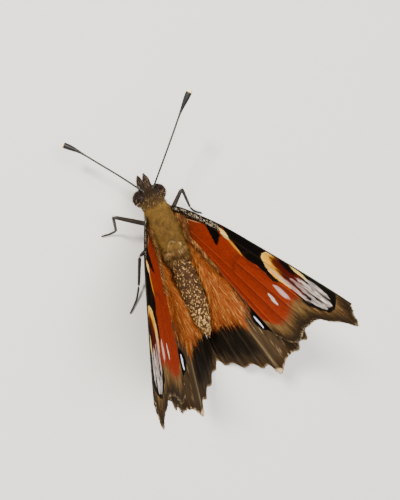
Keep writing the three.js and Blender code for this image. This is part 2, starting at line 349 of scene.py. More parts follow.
class Maker:
    """Builds one material's node tree."""

    def __init__(self, name: str) -> None:
        """Starts an empty material with a surface shader."""
        self.material = bpy.data.materials.new(name)
        self.material.use_nodes = True
        self.tree = self.material.node_tree
        self.shader = self.tree.nodes["Principled BSDF"]

    def node(self, kind: str, settings: dict | None = None, values: list | dict | None = None,
             out: int | str = 0) -> Field:
        """Adds a node and wires it.

        Args:
            kind: the node's type.
            settings: its own settings, set before its sockets.
            values: numbers, vectors or fields for its inputs, by order or by name.
            out: which output to hand back.

        Returns:
            The chosen output.
        """
        made = self.tree.nodes.new(kind)
        for key, value in (settings or {}).items():
            setattr(made, key, value)
        pairs = values.items() if isinstance(values, dict) else enumerate(values or [])
        for key, value in pairs:
            self.feed(made.inputs[key], value)
        return Field(self, made.outputs[out])

    def feed(self, socket: bpy.types.NodeSocket, value: object) -> None:
        """Links a field to a socket, or sets the socket's own value.

        Args:
            socket: the input.
            value: a field, a number, or three numbers.
        """
        if isinstance(value, Field):
            self.tree.links.new(value.socket, socket)
        elif isinstance(value, tuple) and len(value) == 3 and socket.type == "RGBA":
            socket.default_value = (*value, 1.0)
        else:
            socket.default_value = value

    def ramp(self, value: Field, stops: list[tuple[float, Colour]], grey: bool = False) -> Field:
        """Colours between stops along a value.

        Args:
            value: what the ramp reads, from 0 to 1.
            stops: pairs of a place and its colour.
            grey: whether a number is wanted in place of a colour.

        Returns:
            The colour, or the number.
        """
        made = self.tree.nodes.new("ShaderNodeValToRGB")
        elements = made.color_ramp.elements
        while len(elements) < len(stops):
            elements.new(0.5)
        for element, (place, colour) in zip(elements, stops):
            element.position = place
            element.color = (*colour, 1.0)
        self.tree.links.new(value.socket, made.inputs[0])
        shown = Field(self, made.outputs[0])
        return self.node("ShaderNodeSeparateColor", None, [shown]) if grey else shown

    def mix(self, share: Number, low: object, high: object) -> Field:
        """Blends two colours.

        Args:
            share: how much of the second is seen.
            low: the first, a colour or a field.
            high: the second.

        Returns:
            The blend.
        """
        made = self.tree.nodes.new("ShaderNodeMix")
        made.data_type = "RGBA"
        self.feed(made.inputs[0], share)
        self.feed(made.inputs[6], low)
        self.feed(made.inputs[7], high)
        return Field(self, made.outputs[2])

    def split(self, seen: Field) -> tuple[Field, Field, Field]:
        """The three numbers of a vector.

        Args:
            seen: the vector.

        Returns:
            Its numbers.
        """
        parts = self.tree.nodes.new("ShaderNodeSeparateXYZ")
        self.tree.links.new(seen.socket, parts.inputs[0])
        return tuple(Field(self, parts.outputs[axis]) for axis in range(3))

    def plane(self) -> tuple[Field, Field]:
        """The place on a wing, in millimetres from its root."""
        right, back, _ = self.split(self.node("ShaderNodeUVMap", {"uv_map": "Plane"}))
        return right * PLANE_SPAN - PLANE_SHIFT, back * PLANE_SPAN - PLANE_SHIFT

    def places(self) -> tuple[Field, Field, Field]:
        """The place on the object in millimetres, from the scene's origin."""
        seen = self.node("ShaderNodeTexCoord", None, None, out="Object")
        return tuple(part * (1 / MM) for part in self.split(seen))

    def vector(self, x: Number, y: Number, z: Number = 0.0) -> Field:
        """Three numbers as one vector."""
        return self.node("ShaderNodeCombineXYZ", None, [x, y, z])

    def noise(self, where: Field, scale: float, detail: float = 3.0, rough: float = 0.6) -> Field:
        """Smooth random shades, spread over 0 to 1.

        Args:
            where: the place that is read.
            scale: how many shades there are to a millimetre.
            detail: how many finer layers are added.
            rough: how strong the finer layers are.

        Returns:
            The shade.
        """
        shade = self.node("ShaderNodeTexNoise", {"noise_dimensions": "3D"},
                          {"Vector": where, "Scale": scale, "Detail": detail, "Roughness": rough})
        return self.node("ShaderNodeMapRange", None, [shade, NOISE_LOW, NOISE_HIGH, 0.0, 1.0])

    def attribute(self, name: str) -> Field:
        """A number stored on the piece's points."""
        return self.node("ShaderNodeAttribute", {"attribute_name": name}, None, out="Fac")

    def bump(self, height: Field, distance: float, strength: float = 1.0) -> None:
        """Raises the surface.

        Args:
            height: how high it is, from 0 to 1.
            distance: how high 1 is, in millimetres.
            strength: how much of it is felt.
        """
        made = self.node("ShaderNodeBump", None,
                         {"Strength": strength, "Distance": distance * MM, "Height": height})
        self.feed(self.shader.inputs["Normal"], made)

    def surface(self, colour: object, roughness: object, specular: float = 0.4) -> None:
        """Sets the main inputs of the surface shader.

        Args:
            colour: its colour.
            roughness: how matt it is, from 0 to 1.
            specular: how strongly it mirrors the light.
        """
        self.feed(self.shader.inputs["Base Color"], colour)
        self.feed(self.shader.inputs["Roughness"], roughness)
        self.shader.inputs["Specular IOR Level"].default_value = specular


def oval(x: Field, y: Field, centre: tuple[float, float], radii: tuple[float, float],
         turn: float = 0.0) -> Field:
    """How far a place is from an oval's centre: 1 on its edge.

    Args:
        x: first coordinate.
        y: second coordinate.
        centre: the oval's centre.
        radii: its half-length and half-width.
        turn: how far its length turns from the first axis, in degrees.

    Returns:
        The distance as a share of the oval's own radius.
    """
    cosine, sine = math.cos(math.radians(turn)), math.sin(math.radians(turn))
    right, down = x - centre[0], y - centre[1]
    long = (right * cosine + down * sine) / radii[0]
    wide = (down * cosine - right * sine) / radii[1]
    return (long * long + wide * wide).root()


@dataclass(frozen=True)
class Stroke:
    """A straight mark on a wing that narrows to both ends, in the wing's own millimetres."""

    start: tuple[float, float]
    end: tuple[float, float]
    half: float
    taper: float = 0.6

    def cover(self, x: Field, y: Field, soft: float = 0.3) -> Field:
        """How much the mark covers a place, from 0 to 1.

        Args:
            x: first coordinate.
            y: second coordinate.
            soft: how much of the half-width the edge fades over.

        Returns:
            The cover.
        """
        run, fall = self.end[0] - self.start[0], self.end[1] - self.start[1]
        right, down = x - self.start[0], y - self.start[1]
        along = ((right * run + down * fall) / (run * run + fall * fall)).clamped()
        across, drop = right - along * run, down - along * fall
        from_middle = along * 2.0 - 1.0
        half = (1.0 - from_middle * from_middle * self.taper) * self.half
        reach = (across * across + drop * drop).root() / half
        return reach.step(1 + soft, 1 - soft)


# Finishes
class Finish(Enum):
    """The finishes that the pieces ask for."""

    FORE_UPPER = "fore upper"
    HIND_UPPER = "hind upper"
    UNDER = "under"
    SKIN = "skin"
    THORAX_FUR = "thorax fur"
    COLLAR_FUR = "collar fur"
    WAIST_FUR = "waist fur"
    BELLY_SCALES = "belly scales"
    FACE_FUR = "face fur"
    LASHES = "lashes"
    WING_ROOT_HAIR = "wing root hair"
    PALP_FUR = "palp fur"
    LEG_HAIR = "leg hair"
    HIND_HAIR = "hind hair"
    FRINGE = "fringe"
    COSTAL_HAIR = "costal hair"
    HORN = "horn"
    ANTENNA = "antenna"
    EYE = "eye"


Finishes: TypeAlias = dict[Finish, bpy.types.Material]


@dataclass(frozen=True)
class Ground:
    """What a wing's pattern reads: the place, a wavering copy of it, and noises of several grains."""

    x: Field
    y: Field
    wavy_x: Field
    wavy_y: Field
    fine: Field
    streak: Field
    thread: Field
    ray: Field


@dataclass(frozen=True)
class ForewingUpper:
    """Rust-red upper side with black costal patches and the eyespot near the tip."""

    name: str = "forewing upper scales"
    red_end: tuple = ((4.6, 22.2), (5.6, 21.3), (6.4, 20.6), (7.7, 20.5), (9.9, 19.5), (12.1, 17.9),
                      (12.7, 16.5), (13.4, 13.8))
    costal_band_end: tuple = ((-1.0, 0.3), (0.1, 0.0), (2.5, -0.4), (4.8, -0.7), (7.9, -0.95), (10.0, -1.3))
    blotch_left: tuple = ((-2.4, 6.3), (-0.7, 6.9), (1.0, 7.6), (2.3, 8.0))
    blotch_right: tuple = ((-2.4, 9.4), (-0.8, 9.5), (0.1, 9.6), (1.2, 9.0), (2.3, 8.2))
    patch_end: tuple = ((10.5, -1.6), (11.4, -0.3), (12.3, 0.55), (13.2, 1.5), (14.0, 2.15), (15.3, 2.45),
                        (16.3, 2.7), (17.1, 3.05), (17.8, 3.7), (18.2, 4.0), (18.9, 3.7), (20.0, 3.5),
                        (21.6, 4.0), (22.8, 4.8), (23.7, 5.05), (25.1, 5.05), (26.5, 4.6), (27.3, 3.4),
                        (27.5, 1.0))
    eyespot_left: tuple = ((-1.6, 18.7), (-0.8, 18.0), (0.0, 17.0), (0.5, 16.8), (1.1, 17.0), (2.2, 17.4),
                           (2.9, 17.9), (3.6, 18.5))
    eyespot_top: tuple = ((18.0, -2.5), (20.2, -1.2), (20.8, -0.45), (21.6, -0.4), (22.5, -0.2), (23.5, 0.3),
                          (25.0, 1.0), (26.3, 1.8), (26.9, 2.8))
    eyespot_low: tuple = ((17.4, 2.4), (18.4, 3.05), (19.6, 3.4), (21.6, 3.85), (23.0, 4.6), (24.4, 4.65),
                          (26.0, 4.45), (26.9, 3.2))
    pale_marks: tuple = (
        Stroke((18.3, 2.2), (23.6, 4.45), 0.42, 0.5),
        Stroke((21.3, 2.0), (24.8, 3.75), 0.42, 0.7),
        Stroke((22.4, 1.55), (26.0, 3.05), 0.42, 0.6),
        Stroke((23.3, 0.95), (26.5, 2.2), 0.34, 0.6),
        Stroke((24.0, 4.3), (26.5, 4.15), 0.28, 0.6),
        Stroke((25.3, 2.8), (26.8, 3.4), 0.4, 0.3),
        Stroke((24.2, 3.8), (26.1, 3.75), 0.22, 0.5),
    )
    cream_mark: Stroke = Stroke((21.4, -0.12), (23.5, 0.95), 0.3, 0.6)
    heart_black: Stroke = Stroke((20.1, -0.2), (21.6, 0.9), 0.55, 0.4)
    pink_spot: Stroke = Stroke((18.2, 4.7), (20.4, 5.75), 0.5, 0.6)
    white_spot: Stroke = Stroke((16.8, 6.75), (18.15, 8.15), 0.43, 0.8)
    wedge: Stroke = Stroke((10.0, -1.05), (11.2, -0.1), 0.55, 0.5)
    amber_line: Stroke = Stroke((11.0, -0.1), (13.2, 1.75), 0.28, 0.5)

    def build(self) -> bpy.types.Material:
        """Paints the wing from its root to its margin.

        Returns:
            The material.
        """
        make = Maker(self.name)
        x, y = make.plane()
        edge, row, vein = (make.attribute(name) for name in ("edge", "row", "vein"))
        grain = make.noise(make.vector(x, y), 1.5, 5.0, 0.75)
        fine = make.noise(make.vector(x, y), 4.5, 3.0, 0.8)
        slanting = x + y * 0.4
        streak = make.noise(make.vector(slanting * 0.5, y * 2.6 - x * 1.0), 1.0, 4.0, 0.8)
        thread = make.noise(make.vector(slanting * 0.9, y * 6.5 - x * 2.5), 1.0, 3.0, 0.7)
        ray = make.noise(make.vector(row * 90.0, edge * 9.0), 1.0, 3.0, 0.7)
        wobble = (grain - 0.5) * 0.42 + (streak - 0.5) * 0.38
        ground = Ground(x, y, x + wobble, y + wobble * 0.7, fine, streak, thread, ray)
        colour = make.mix((grain * 0.4 + fine * 0.8 + streak * 0.2 - 0.25).clamped(), RUST_DEEP, RUST)
        near_root = (x + (grain - 0.5) * 3.0 + y * 0.4).step(7.0, 1.0)
        colour = make.mix(near_root * 0.75, colour, ROOT_BROWN)
        colour = self.margin_band(make, colour, ground)
        colour = self.costal_parts(make, colour, ground)
        colour = self.eyespot_parts(make, colour, ground)
        colour = self.spots(make, colour, ground)
        colour = make.mix(vein * 0.5, colour, DARK_BROWN)
        colour = make.mix(row.step(0.955, 0.995) * (0.35 + ray * 0.4), colour, GREY_BROWN)
        make.surface(colour, 0.75 + grain * 0.15, specular=0.06)
        make.bump(fine * 0.5 + streak * 0.4 + grain * 0.3 + vein * 0.8, 0.06)
        return make.material

    def margin_band(self, make: Maker, colour: Field, ground: Ground) -> Field:
        """Streaky olive-brown band between the red field and the margin.

        Args:
            make: the material's maker.
            colour: the colour so far.
            ground: what the pattern reads.

        Returns:
            The colour with the new parts.
        """
        ray, edge = ground.ray, make.attribute("edge")
        wavering = ground.fine - 0.5
        outside = (ground.wavy_x + wavering * 1.1 - ground.y.curve(self.red_end)).step(-0.8, 0.8)
        golden = make.mix(ray.step(0.45, 0.95), OLIVE_BROWN, OLIVE_GOLD)
        band = make.mix((edge + wavering * 0.06).step(0.87, 0.98), golden, DARK_BROWN)
        band = make.mix(ray.step(0.5, 0.2) * 0.6, band, DARK_BROWN)
        colour = make.mix(outside, colour, band)
        pale = edge.step(0.984, 0.996) * ray.step(0.55, 0.75)
        return make.mix(pale * 0.4, colour, TAN)

    def costal_parts(self, make: Maker, colour: Field, ground: Ground) -> Field:
        """Dark costa with pale dashes, the blotch in the cell, the cream wedge and the black patch.

        Args:
            make: the material's maker.
            colour: the colour so far.
            ground: what the pattern reads.

        Returns:
            The colour with the new parts.
        """
        x, y, fine = ground.x, ground.y, ground.fine
        right, back = ground.wavy_x, ground.wavy_y
        below = y - x.curve(self.costal_band_end)
        band = below.step(0.1, -0.1) * x.step(10.7, 10.3)
        slant = (x * 2.3 + y * 1.6 + (fine - 0.5) * 0.5) * 7.5
        dashes = slant.wave().step(0.3, 0.95) * fine.step(0.4, 0.75) * below.step(-0.05, -0.3)
        colour = make.mix(band, colour, make.mix(dashes * 0.45, SOOT, TAN))
        rim = (below - 0.16).absolute().step(0.1, 0.03) * x.step(6.2, 4.6)
        colour = make.mix(rim * 0.6, colour, TAN)
        blotch = (right - y.curve(self.blotch_left)).step(-0.1, 0.15)
        blotch = blotch * (y.curve(self.blotch_right) - right).step(-0.1, 0.15) * back.step(2.4, 2.0)
        colour = make.mix(blotch, colour, SOOT)
        colour = make.mix(self.amber_line.cover(right, back, 0.8) * 0.6, colour, AMBER)
        colour = make.mix(self.wedge.cover(right, back), colour, CREAM)
        patch = (back - x.curve(self.patch_end)).step(0.1, -0.12)
        patch = patch * right.step(10.4, 10.75) * x.step(27.9, 27.4)
        return make.mix(patch, colour, SOOT)

    def eyespot_parts(self, make: Maker, colour: Field, ground: Ground) -> Field:
        """Yellow inner ring, dark heart, cream streak and the streaked lilac field.

        Args:
            make: the material's maker.
            colour: the colour so far.
            ground: what the pattern reads.

        Returns:
            The colour with the new parts.
        """
        x, y, streak = ground.x, ground.y, ground.streak
        right, back = ground.wavy_x, ground.wavy_y
        from_left = right - y.curve(self.eyespot_left)
        inside = from_left.step(-0.08, 0.12) * (back - x.curve(self.eyespot_top)).step(-0.1, 0.12)
        inside = inside * (x.curve(self.eyespot_low) - back).step(-0.08, 0.12) * x.step(27.0, 26.8)
        warmth = from_left + (streak - 0.5) * 0.9 + (0.9 - y) * 0.35
        heart = make.mix(warmth.step(1.1, 2.1), AMBER, BURNT)
        heart = make.mix(warmth.step(1.9, 2.9), heart, MAROON)
        heart = make.mix(x.step(22.4, 23.6), heart, SOOT)
        heart = make.mix(self.heart_black.cover(right, back, 0.5), heart, SOOT)
        top = (back + x * 0.08).step(1.15, 0.7) * x.step(20.5, 19.7)
        heart = make.mix((from_left.step(0.4, 0.1) * 0.8).most(top), heart, CREAM)
        speckle = (ground.thread.step(0.3, 0.62) * 0.9 + ground.fine.step(0.4, 0.8) * 0.25).clamped()
        tint = make.mix(x.step(21.0, 25.0), LILAC, WHITE_SCALE)
        for mark in self.pale_marks:
            cover = mark.cover(right + (streak - 0.5) * 0.8, y + (streak - 0.5) * 0.4, 0.6)
            heart = make.mix(cover * speckle, heart, tint)
        heart = make.mix(self.cream_mark.cover(right, y), heart, CREAM)
        return make.mix(inside, colour, heart)

    def spots(self, make: Maker, colour: Field, ground: Ground) -> Field:
        """Two pale spots on the red field.

        Args:
            make: the material's maker.
            colour: the colour so far.
            ground: what the pattern reads.

        Returns:
            The colour with the new parts.
        """
        speckle = ground.thread.step(0.1, 0.4) * 0.75 + ground.fine.step(0.25, 0.6) * 0.25
        pink = self.pink_spot.cover(ground.wavy_x, ground.wavy_y, 0.5) * speckle
        colour = make.mix(pink, colour, LILAC)
        wavering = ground.x + (ground.streak - 0.5) * 0.4
        white = self.white_spot.cover(wavering, ground.y + (ground.fine - 0.5) * 0.2, 0.3)
        return make.mix(white, colour, WHITE_SCALE)


@dataclass(frozen=True)
class HindwingUpper:
    """Brown upper side with the blue-pupilled eyespot near the outer angle."""

    name: str = "hindwing upper scales"
    eyespot: tuple[float, float] = (14.4, 8.5)
    disc: float = 3.3
    halo: float = 0.9
    pupil: tuple[float, float] = (2.0, 1.5)
    pupil_turn: float = 30.0
    hair_end: tuple = ((3.0, 12.6), (6.5, 12.3), (9.0, 11.7), (10.5, 11.9), (11.8, 12.2), (13.0, 12.0))
    hair_side: tuple = ((6.6, 3.0), (7.7, 6.8), (9.8, 9.3), (11.8, 12.3), (12.6, 14.0))
    white_line: Stroke = Stroke((11.9, 10.1), (13.6, 11.5), 0.1, 0.7)
    tail: tuple[float, float] = (17.0, 18.3)
    tail_radii: tuple[float, float] = (1.2, 1.0)

    def build(self) -> bpy.types.Material:
        """Paints the wing from its hairy root field to its margin.

        Returns:
            The material.
        """
        make = Maker(self.name)
        x, y = make.plane()
        edge, row = make.attribute("edge"), make.attribute("row")
        grain = make.noise(make.vector(x, y), 2.4, 4.0, 0.7)
        ray = make.noise(make.vector(row * 110.0, edge * 7.0), 1.0, 3.0, 0.7)
        wobble = (grain - 0.5) * 0.5 + (ray - 0.5) * 0.4
        rusty = make.mix((grain * 0.6 + ray * 0.4) * 0.7, BURNT, ORANGE_HAIR)
        scratch = make.noise(make.vector(row * 260.0, edge * 6.0), 1.0, 2.0, 0.6)
        grey = make.mix(ray * 0.5 + scratch * 0.4, DARK_BROWN, GREY_BROWN)
        grey = make.mix(scratch.step(0.75, 0.98) * 0.3, grey, TAN)
        below = (y + wobble * 2.0 - x.curve(self.hair_end)).step(-0.9, 0.9)
        beside = (x.curve(self.hair_side) - y - wobble * 2.0).step(-0.5, 0.7) * x.step(6.8, 7.6)
        hairless = below.most(beside)
        colour = make.mix(hairless, rusty, grey)
        halo = oval(x + wobble, y + wobble, self.eyespot, (self.disc + self.halo,) * 2)
        halo = halo.step(1.1, 0.95) * (y - x).step(-4.4, -5.4)
        colour = make.mix(halo, colour, make.mix(grain, GREY_BROWN, CREAM))
        near = oval(x + wobble * 0.25, y + wobble * 0.25, self.eyespot, (self.disc,) * 2)
        colour = make.mix(near.step(1.03, 0.98), colour, SOOT)
        pupil = oval(x + wobble * 0.6, y, self.eyespot, self.pupil, self.pupil_turn).step(1.05, 0.8)
        colour = make.mix(pupil * ray.step(0.25, 0.6), colour, SKY_BLUE)
        colour = make.mix(self.white_line.cover(x, y + (grain - 0.5) * 0.12), colour, ICE)
        vein = make.attribute("vein") * hairless
        colour = make.mix(vein * 0.18 * near.step(1.0, 1.1), colour, TAN)
        # Painted shade: past the hair, the part of the wing that droops into the trough beside the body is
        # darkened almost to black. This is partly the wing's own dark brown and partly painted shadow of the
        # trough.
        trough_dark_and_shade = hairless * row.step(0.48, 0.6) * (edge + (ray - 0.5) * 0.08).step(1.0, 0.88)
        colour = make.mix(trough_dark_and_shade * 0.88, colour, SOOT)
        tail = oval(x, y, self.tail, self.tail_radii).step(1.2, 0.6)
        colour = make.mix((edge + wobble * 0.03).step(0.9, 0.97) * (1.0 - tail) * 0.65, colour, DARK_BROWN)
        colour = make.mix(edge.step(0.985, 0.996) * ray.step(0.4, 0.7) * 0.5, colour, TAN)
        colour = make.mix(tail * 0.8, colour, TAN)
        make.surface(colour, 0.85, specular=0.06)
        make.bump(ray * 0.6 + grain * 0.4 + vein, 0.06)
        return make.material


@dataclass(frozen=True)
class WingUnder:
    """Charcoal-brown underside with fine wavy lines, like charred bark."""

    name: str = "wing underside scales"
    line_pitch: float = 5.2
    line_wander: float = 4.0
    band_reach: float = 13.0

    def build(self) -> bpy.types.Material:
        """Draws the wavy cross lines.

        Returns:
            The material.
        """
        make = Maker(self.name)
        x, y = make.plane()
        grain = make.noise(make.vector(x, y), 1.1, 4.0, 0.6)
        fine = make.noise(make.vector(x, y), 5.0, 3.0, 0.7)
        reach = (x * x + y * y).root()
        lines = ((reach * self.line_pitch + grain * self.line_wander).wave() * 0.5 + 0.5) * fine
        colour = make.mix(lines.step(0.15, 0.7) * 0.5, BARK, BARK_PALE)
        middle = (reach + grain * 2.0 - self.band_reach).absolute().step(4.0, 1.5)
        colour = make.mix(middle * 0.5, colour, SOOT)
        vein = make.attribute("vein")
        colour = make.mix(vein * 0.5, colour, SOOT)
        make.surface(colour, 0.75, specular=0.15)
        make.bump(fine * 0.6 + lines * 0.4 + vein, 0.06)
        return make.material


@dataclass(frozen=True)
class HairFinish:
    """Hair of one colour range, from a dark to a light tone with rare pale ones."""

    name: str
    dark: Colour
    light: Colour
    pale: Colour
    pale_share: float
    mottle: float = 0.3
    roughness: float = 0.55

    def build(self) -> bpy.types.Material:
        """Reads each hair's own tone.

        Returns:
            The material.
        """
        make = Maker(self.name)
        tone = make.attribute("tone")
        x, y, z = make.places()
        patch = make.noise(make.vector(x, y, z), 0.8, 2.0)
        shade = tone * 0.8 + (patch - 0.5) * self.mottle + 0.1
        colour = make.mix(shade.clamped(), self.dark, self.light)
        chosen = tone.step(1.0 - self.pale_share, 1.0 - self.pale_share + 0.04)
        colour = make.mix(chosen, colour, self.pale)
        make.surface(colour, self.roughness, specular=0.25)
        return make.material


@dataclass(frozen=True)
class SkinFinish:
    """The body's surface under the coat, olive in front and dark on the belly."""

    name: str
    neck: float
    waist: float

    def build(self) -> bpy.types.Material:
        """Blends the two regions at the waist.

        Returns:
            The material.
        """
        make = Maker(self.name)
        x, y, z = make.places()
        grain = make.noise(make.vector(x, y, z), 3.0, 4.0, 0.7)
        front = make.mix(grain, OLIVE_DARK, OLIVE_FUR)
        rear = make.mix(grain.step(0.6, 0.9) * 0.4, BELLY_DARK, SPECKLE)
        colour = make.mix(y.step(self.waist - 0.4, self.waist + 0.4), front, rear)
        colour = make.mix(y.step(self.neck + 0.3, self.neck - 0.3), colour, FACE_DARK)
        make.surface(colour, 0.8, specular=0.2)
        make.bump(grain, 0.12)
        return make.material


@dataclass(frozen=True)
class HornFinish:
    """Dark brown horn of legs, palps and feeding tube."""

    name: str = "horn"
    colour: Colour = HORN_DARK
    roughness: float = 0.42

    def build(self) -> bpy.types.Material:
        """Adds a little wear and grain.

        Returns:
            The material.
        """
        make = Maker(self.name)
        x, y, z = make.places()
        grain = make.noise(make.vector(x, y, z), 4.0, 4.0, 0.7)
        make.surface(make.mix(grain * 0.4, self.colour, DARK_BROWN), self.roughness + grain * 0.2)
        make.bump(grain, 0.04)
        return make.material


@dataclass(frozen=True)
class AntennaFinish:
    """Black shaft with fine white rings, and a black club with a pale tip."""

    name: str = "antenna"
    rings: int = 38
    club_start: float = 0.8
    tip_start: float = 0.962

    def build(self) -> bpy.types.Material:
        """Reads the place along the antenna from its map.

        Returns:
            The material.
        """
        make = Maker(self.name)
        along, _, _ = make.split(make.node("ShaderNodeUVMap", {"uv_map": "Along"}))
        ring = (along * (self.rings * 2 * math.pi)).wave().step(0.88, 0.99)
        ring = ring * along.step(self.club_start, self.club_start - 0.02)
        colour = make.mix(ring * 0.18, HORN_BLACK, RING_PALE)
        colour = make.mix(along.step(self.tip_start, self.tip_start + 0.012), colour, CLUB_PALE)
        make.surface(colour, 0.5)
        return make.material


@dataclass(frozen=True)
class EyeFinish:
    """Dark brown compound eye with fine facets."""

    name: str = "eye"

    def build(self) -> bpy.types.Material:
        """Facets as small cells, with darker bands.

        Returns:
            The material.
        """
        make = Maker(self.name)
        x, y, z = make.places()
        cells = make.node("ShaderNodeTexVoronoi", {"feature": "F1"},
                          {"Vector": make.vector(x, y, z), "Scale": 11.0})
        mottle = make.noise(make.vector(x, y, z), 1.6, 2.0)
        make.surface(make.mix(mottle, EYE_BLACK, EYE_BROWN), 0.34, specular=0.22)
        make.bump(1.0 - cells, 0.03)
        return make.material


@dataclass(frozen=True)
class FloorFinish:
    """Plain pale floor."""

    name: str = "pale floor"

    def build(self) -> bpy.types.Material:
        """Matt and even.

        Returns:
            The material.
        """
        make = Maker(self.name)
        make.surface(FLOOR_PALE, 0.9, specular=0.2)
        return make.material


# Piece making
def piece(name: str, shape: bmesh.types.BMesh, finishes: list[bpy.types.Material]) -> bpy.types.Object:
    """Turns a finished shape into a scene object and frees the shape.

    Args:
        name: the piece's name.
        shape: its mesh, in scene metres.
        finishes: its materials in slot order.

    Returns:
        The object, riding on the body.
    """
    mesh = bpy.data.meshes.new(name)
    shape.to_mesh(mesh)
    shape.free()
    mesh.shade_smooth()
    for finish in finishes:
        mesh.materials.append(finish)
    made = bpy.data.objects.new(name, mesh)
    bpy.context.scene.collection.objects.link(made)
    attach(made, BODY)
    LOG.info("%s: %d faces", name, len(mesh.polygons))
    return made


def coordinates(mesh: bpy.types.Mesh) -> np.ndarray:
    """All points of a mesh.

    Args:
        mesh: the mesh.

    Returns:
        One point a row.
    """
    flat = np.empty(len(mesh.vertices) * 3)
    mesh.vertices.foreach_get("co", flat)
    return flat.reshape(-1, 3)


def store(mesh: bpy.types.Mesh, name: str, values: np.ndarray) -> None:
    """Keeps a number for each point of a mesh."""
    mesh.attributes.new(name, "FLOAT", "POINT").data.foreach_set("value", values.astype(np.float32))


def map_points(mesh: bpy.types.Mesh, name: str, places: np.ndarray) -> None:
    """Adds a UV map.

    Args:
        mesh: the mesh that gets it.
        name: the map's name.
        places: one flat place for each point.
    """
    layer = mesh.uv_layers.new(name=name)
    corner = np.empty(len(mesh.loops), dtype=np.int32)
    mesh.loops.foreach_get("vertex_index", corner)
    layer.data.foreach_set("uv", places[corner].astype(np.float32).ravel())


@dataclass
class Limb:
    """A round tapering part that follows a smooth path, with its radii spread evenly along it.

    The guide is a direction that no limb follows, which settles where the limb's rings start.
    """

    path: list[Point]
    radii: list[float]
    around: int = 12
    along: int = 40
    look: float = 0.01
    guide: Point = (0.15, 0.1, 1.0)

    def build(self, anchor: Anchor, name: str, finish: bpy.types.Material) -> bpy.types.Object:
        """Bends a sphere's rings along the path.

        Args:
            anchor: the scene's place of the animal.
            name: the piece's name.
            finish: its material.

        Returns:
            The piece.
        """
        shape = bmesh.new()
        bmesh.ops.create_uvsphere(shape, u_segments=self.around, v_segments=self.along, radius=1.0)
        track = Track(self.path)
        share = np.array([math.acos(max(-1.0, min(1.0, v.co.z))) / math.pi for v in shape.verts])
        places = track.along(share)
        before, after = np.maximum(share - self.look, 0.0), np.minimum(share + self.look, 1.0)
        ahead = unit(track.along(after) - track.along(before))
        side = unit(np.cross(ahead, self.guide))
        over = np.cross(side, ahead)
        radius = np.interp(share, np.linspace(0, 1, len(self.radii)), self.radii)
        radius *= np.sqrt(np.clip(np.minimum(share, 1 - share) * self.along / 2, 0, 1))
        for index, vert in enumerate(shape.verts):
            turn = math.atan2(vert.co.y, vert.co.x)
            pole = min(share[index], 1 - share[index]) < 1e-4
            reach = 0.0 if pole else radius[index]
            spot = places[index] + reach * (math.cos(turn) * side[index] + math.sin(turn) * over[index])
            vert.co = anchor.point(spot)
        bmesh.ops.recalc_face_normals(shape, faces=shape.faces)
        made = piece(name, shape, [finish])
        map_points(made.data, "Along", np.stack([share, np.zeros_like(share)], axis=1))
        return made


@dataclass
class Tufts:
    """Hairs as thin three-sided blades with a bend, all in one mesh.

    Each has a root, a direction in which it lies, the way up from the skin, a length and a tone,
    and a place on the unwrap of the skin, where its small patch of the map is.
    """

    roots: np.ndarray
    lie: np.ndarray
    rise: np.ndarray
    length: np.ndarray
    width: float
    tone: np.ndarray
    unwrap: np.ndarray
    lift: float = 0.35
    bend_width: float = 0.75
    keel: float = 1.2
    sunk: float = 0.05
    tip_rise: float = 0.55

    def build(self, anchor: Anchor, name: str, finish: bpy.types.Material) -> bpy.types.Object:
        """Makes every hair at once.

        Args:
            anchor: the scene's place of the animal.
            name: the piece's name.
            finish: its material.

        Returns:
            The coat piece, with its OFBake map.
        """
        count = len(self.roots)
        lie = unit(self.lie)
        side = np.cross(lie, self.rise)
        side /= np.linalg.norm(side, axis=1)[:, None] + 1e-9
        over = np.cross(side, lie)
        reach = self.length[:, None]
        bend = self.roots + lie * reach * 0.5 + over * reach * self.lift * 0.5
        tip = self.roots + lie * reach + over * reach * self.lift * self.tip_rise
        half = self.width / 2
        base = self.roots - over * self.sunk
        corners = [side * half, -side * half, over * half * self.keel]
        rings = [base + corner for corner in corners]
        rings += [bend + corner * self.bend_width for corner in corners] + [tip]
        points = np.stack(rings, axis=1).reshape(-1, 3)
        points[:, 2] = np.maximum(points[:, 2], FLOOR_CLEAR - STAND_HEIGHT)
        start = np.arange(count)[:, None] * HAIR_CORNERS
        faces = (start[:, None, :] + np.array(HAIR_FACES)[None, :, :]).reshape(-1, 3)
        mesh = bpy.data.meshes.new(name)
        mesh.from_pydata(anchor.points(points).tolist(), [], faces.tolist())
        mesh.shade_smooth()
        mesh.materials.append(finish)
        store(mesh, "tone", np.repeat(self.tone, HAIR_CORNERS))
        patch = np.array(HAIR_PATCH) * PATCH_SPAN
        map_points(mesh, "OFBake", (self.unwrap[:, None, :] * 0.99 + patch[None, :, :]).reshape(-1, 2))
        made = bpy.data.objects.new(name, mesh)
        bpy.context.scene.collection.objects.link(made)
        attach(made, BODY)
        LOG.info("%s: %d hairs", name, count)
        return made


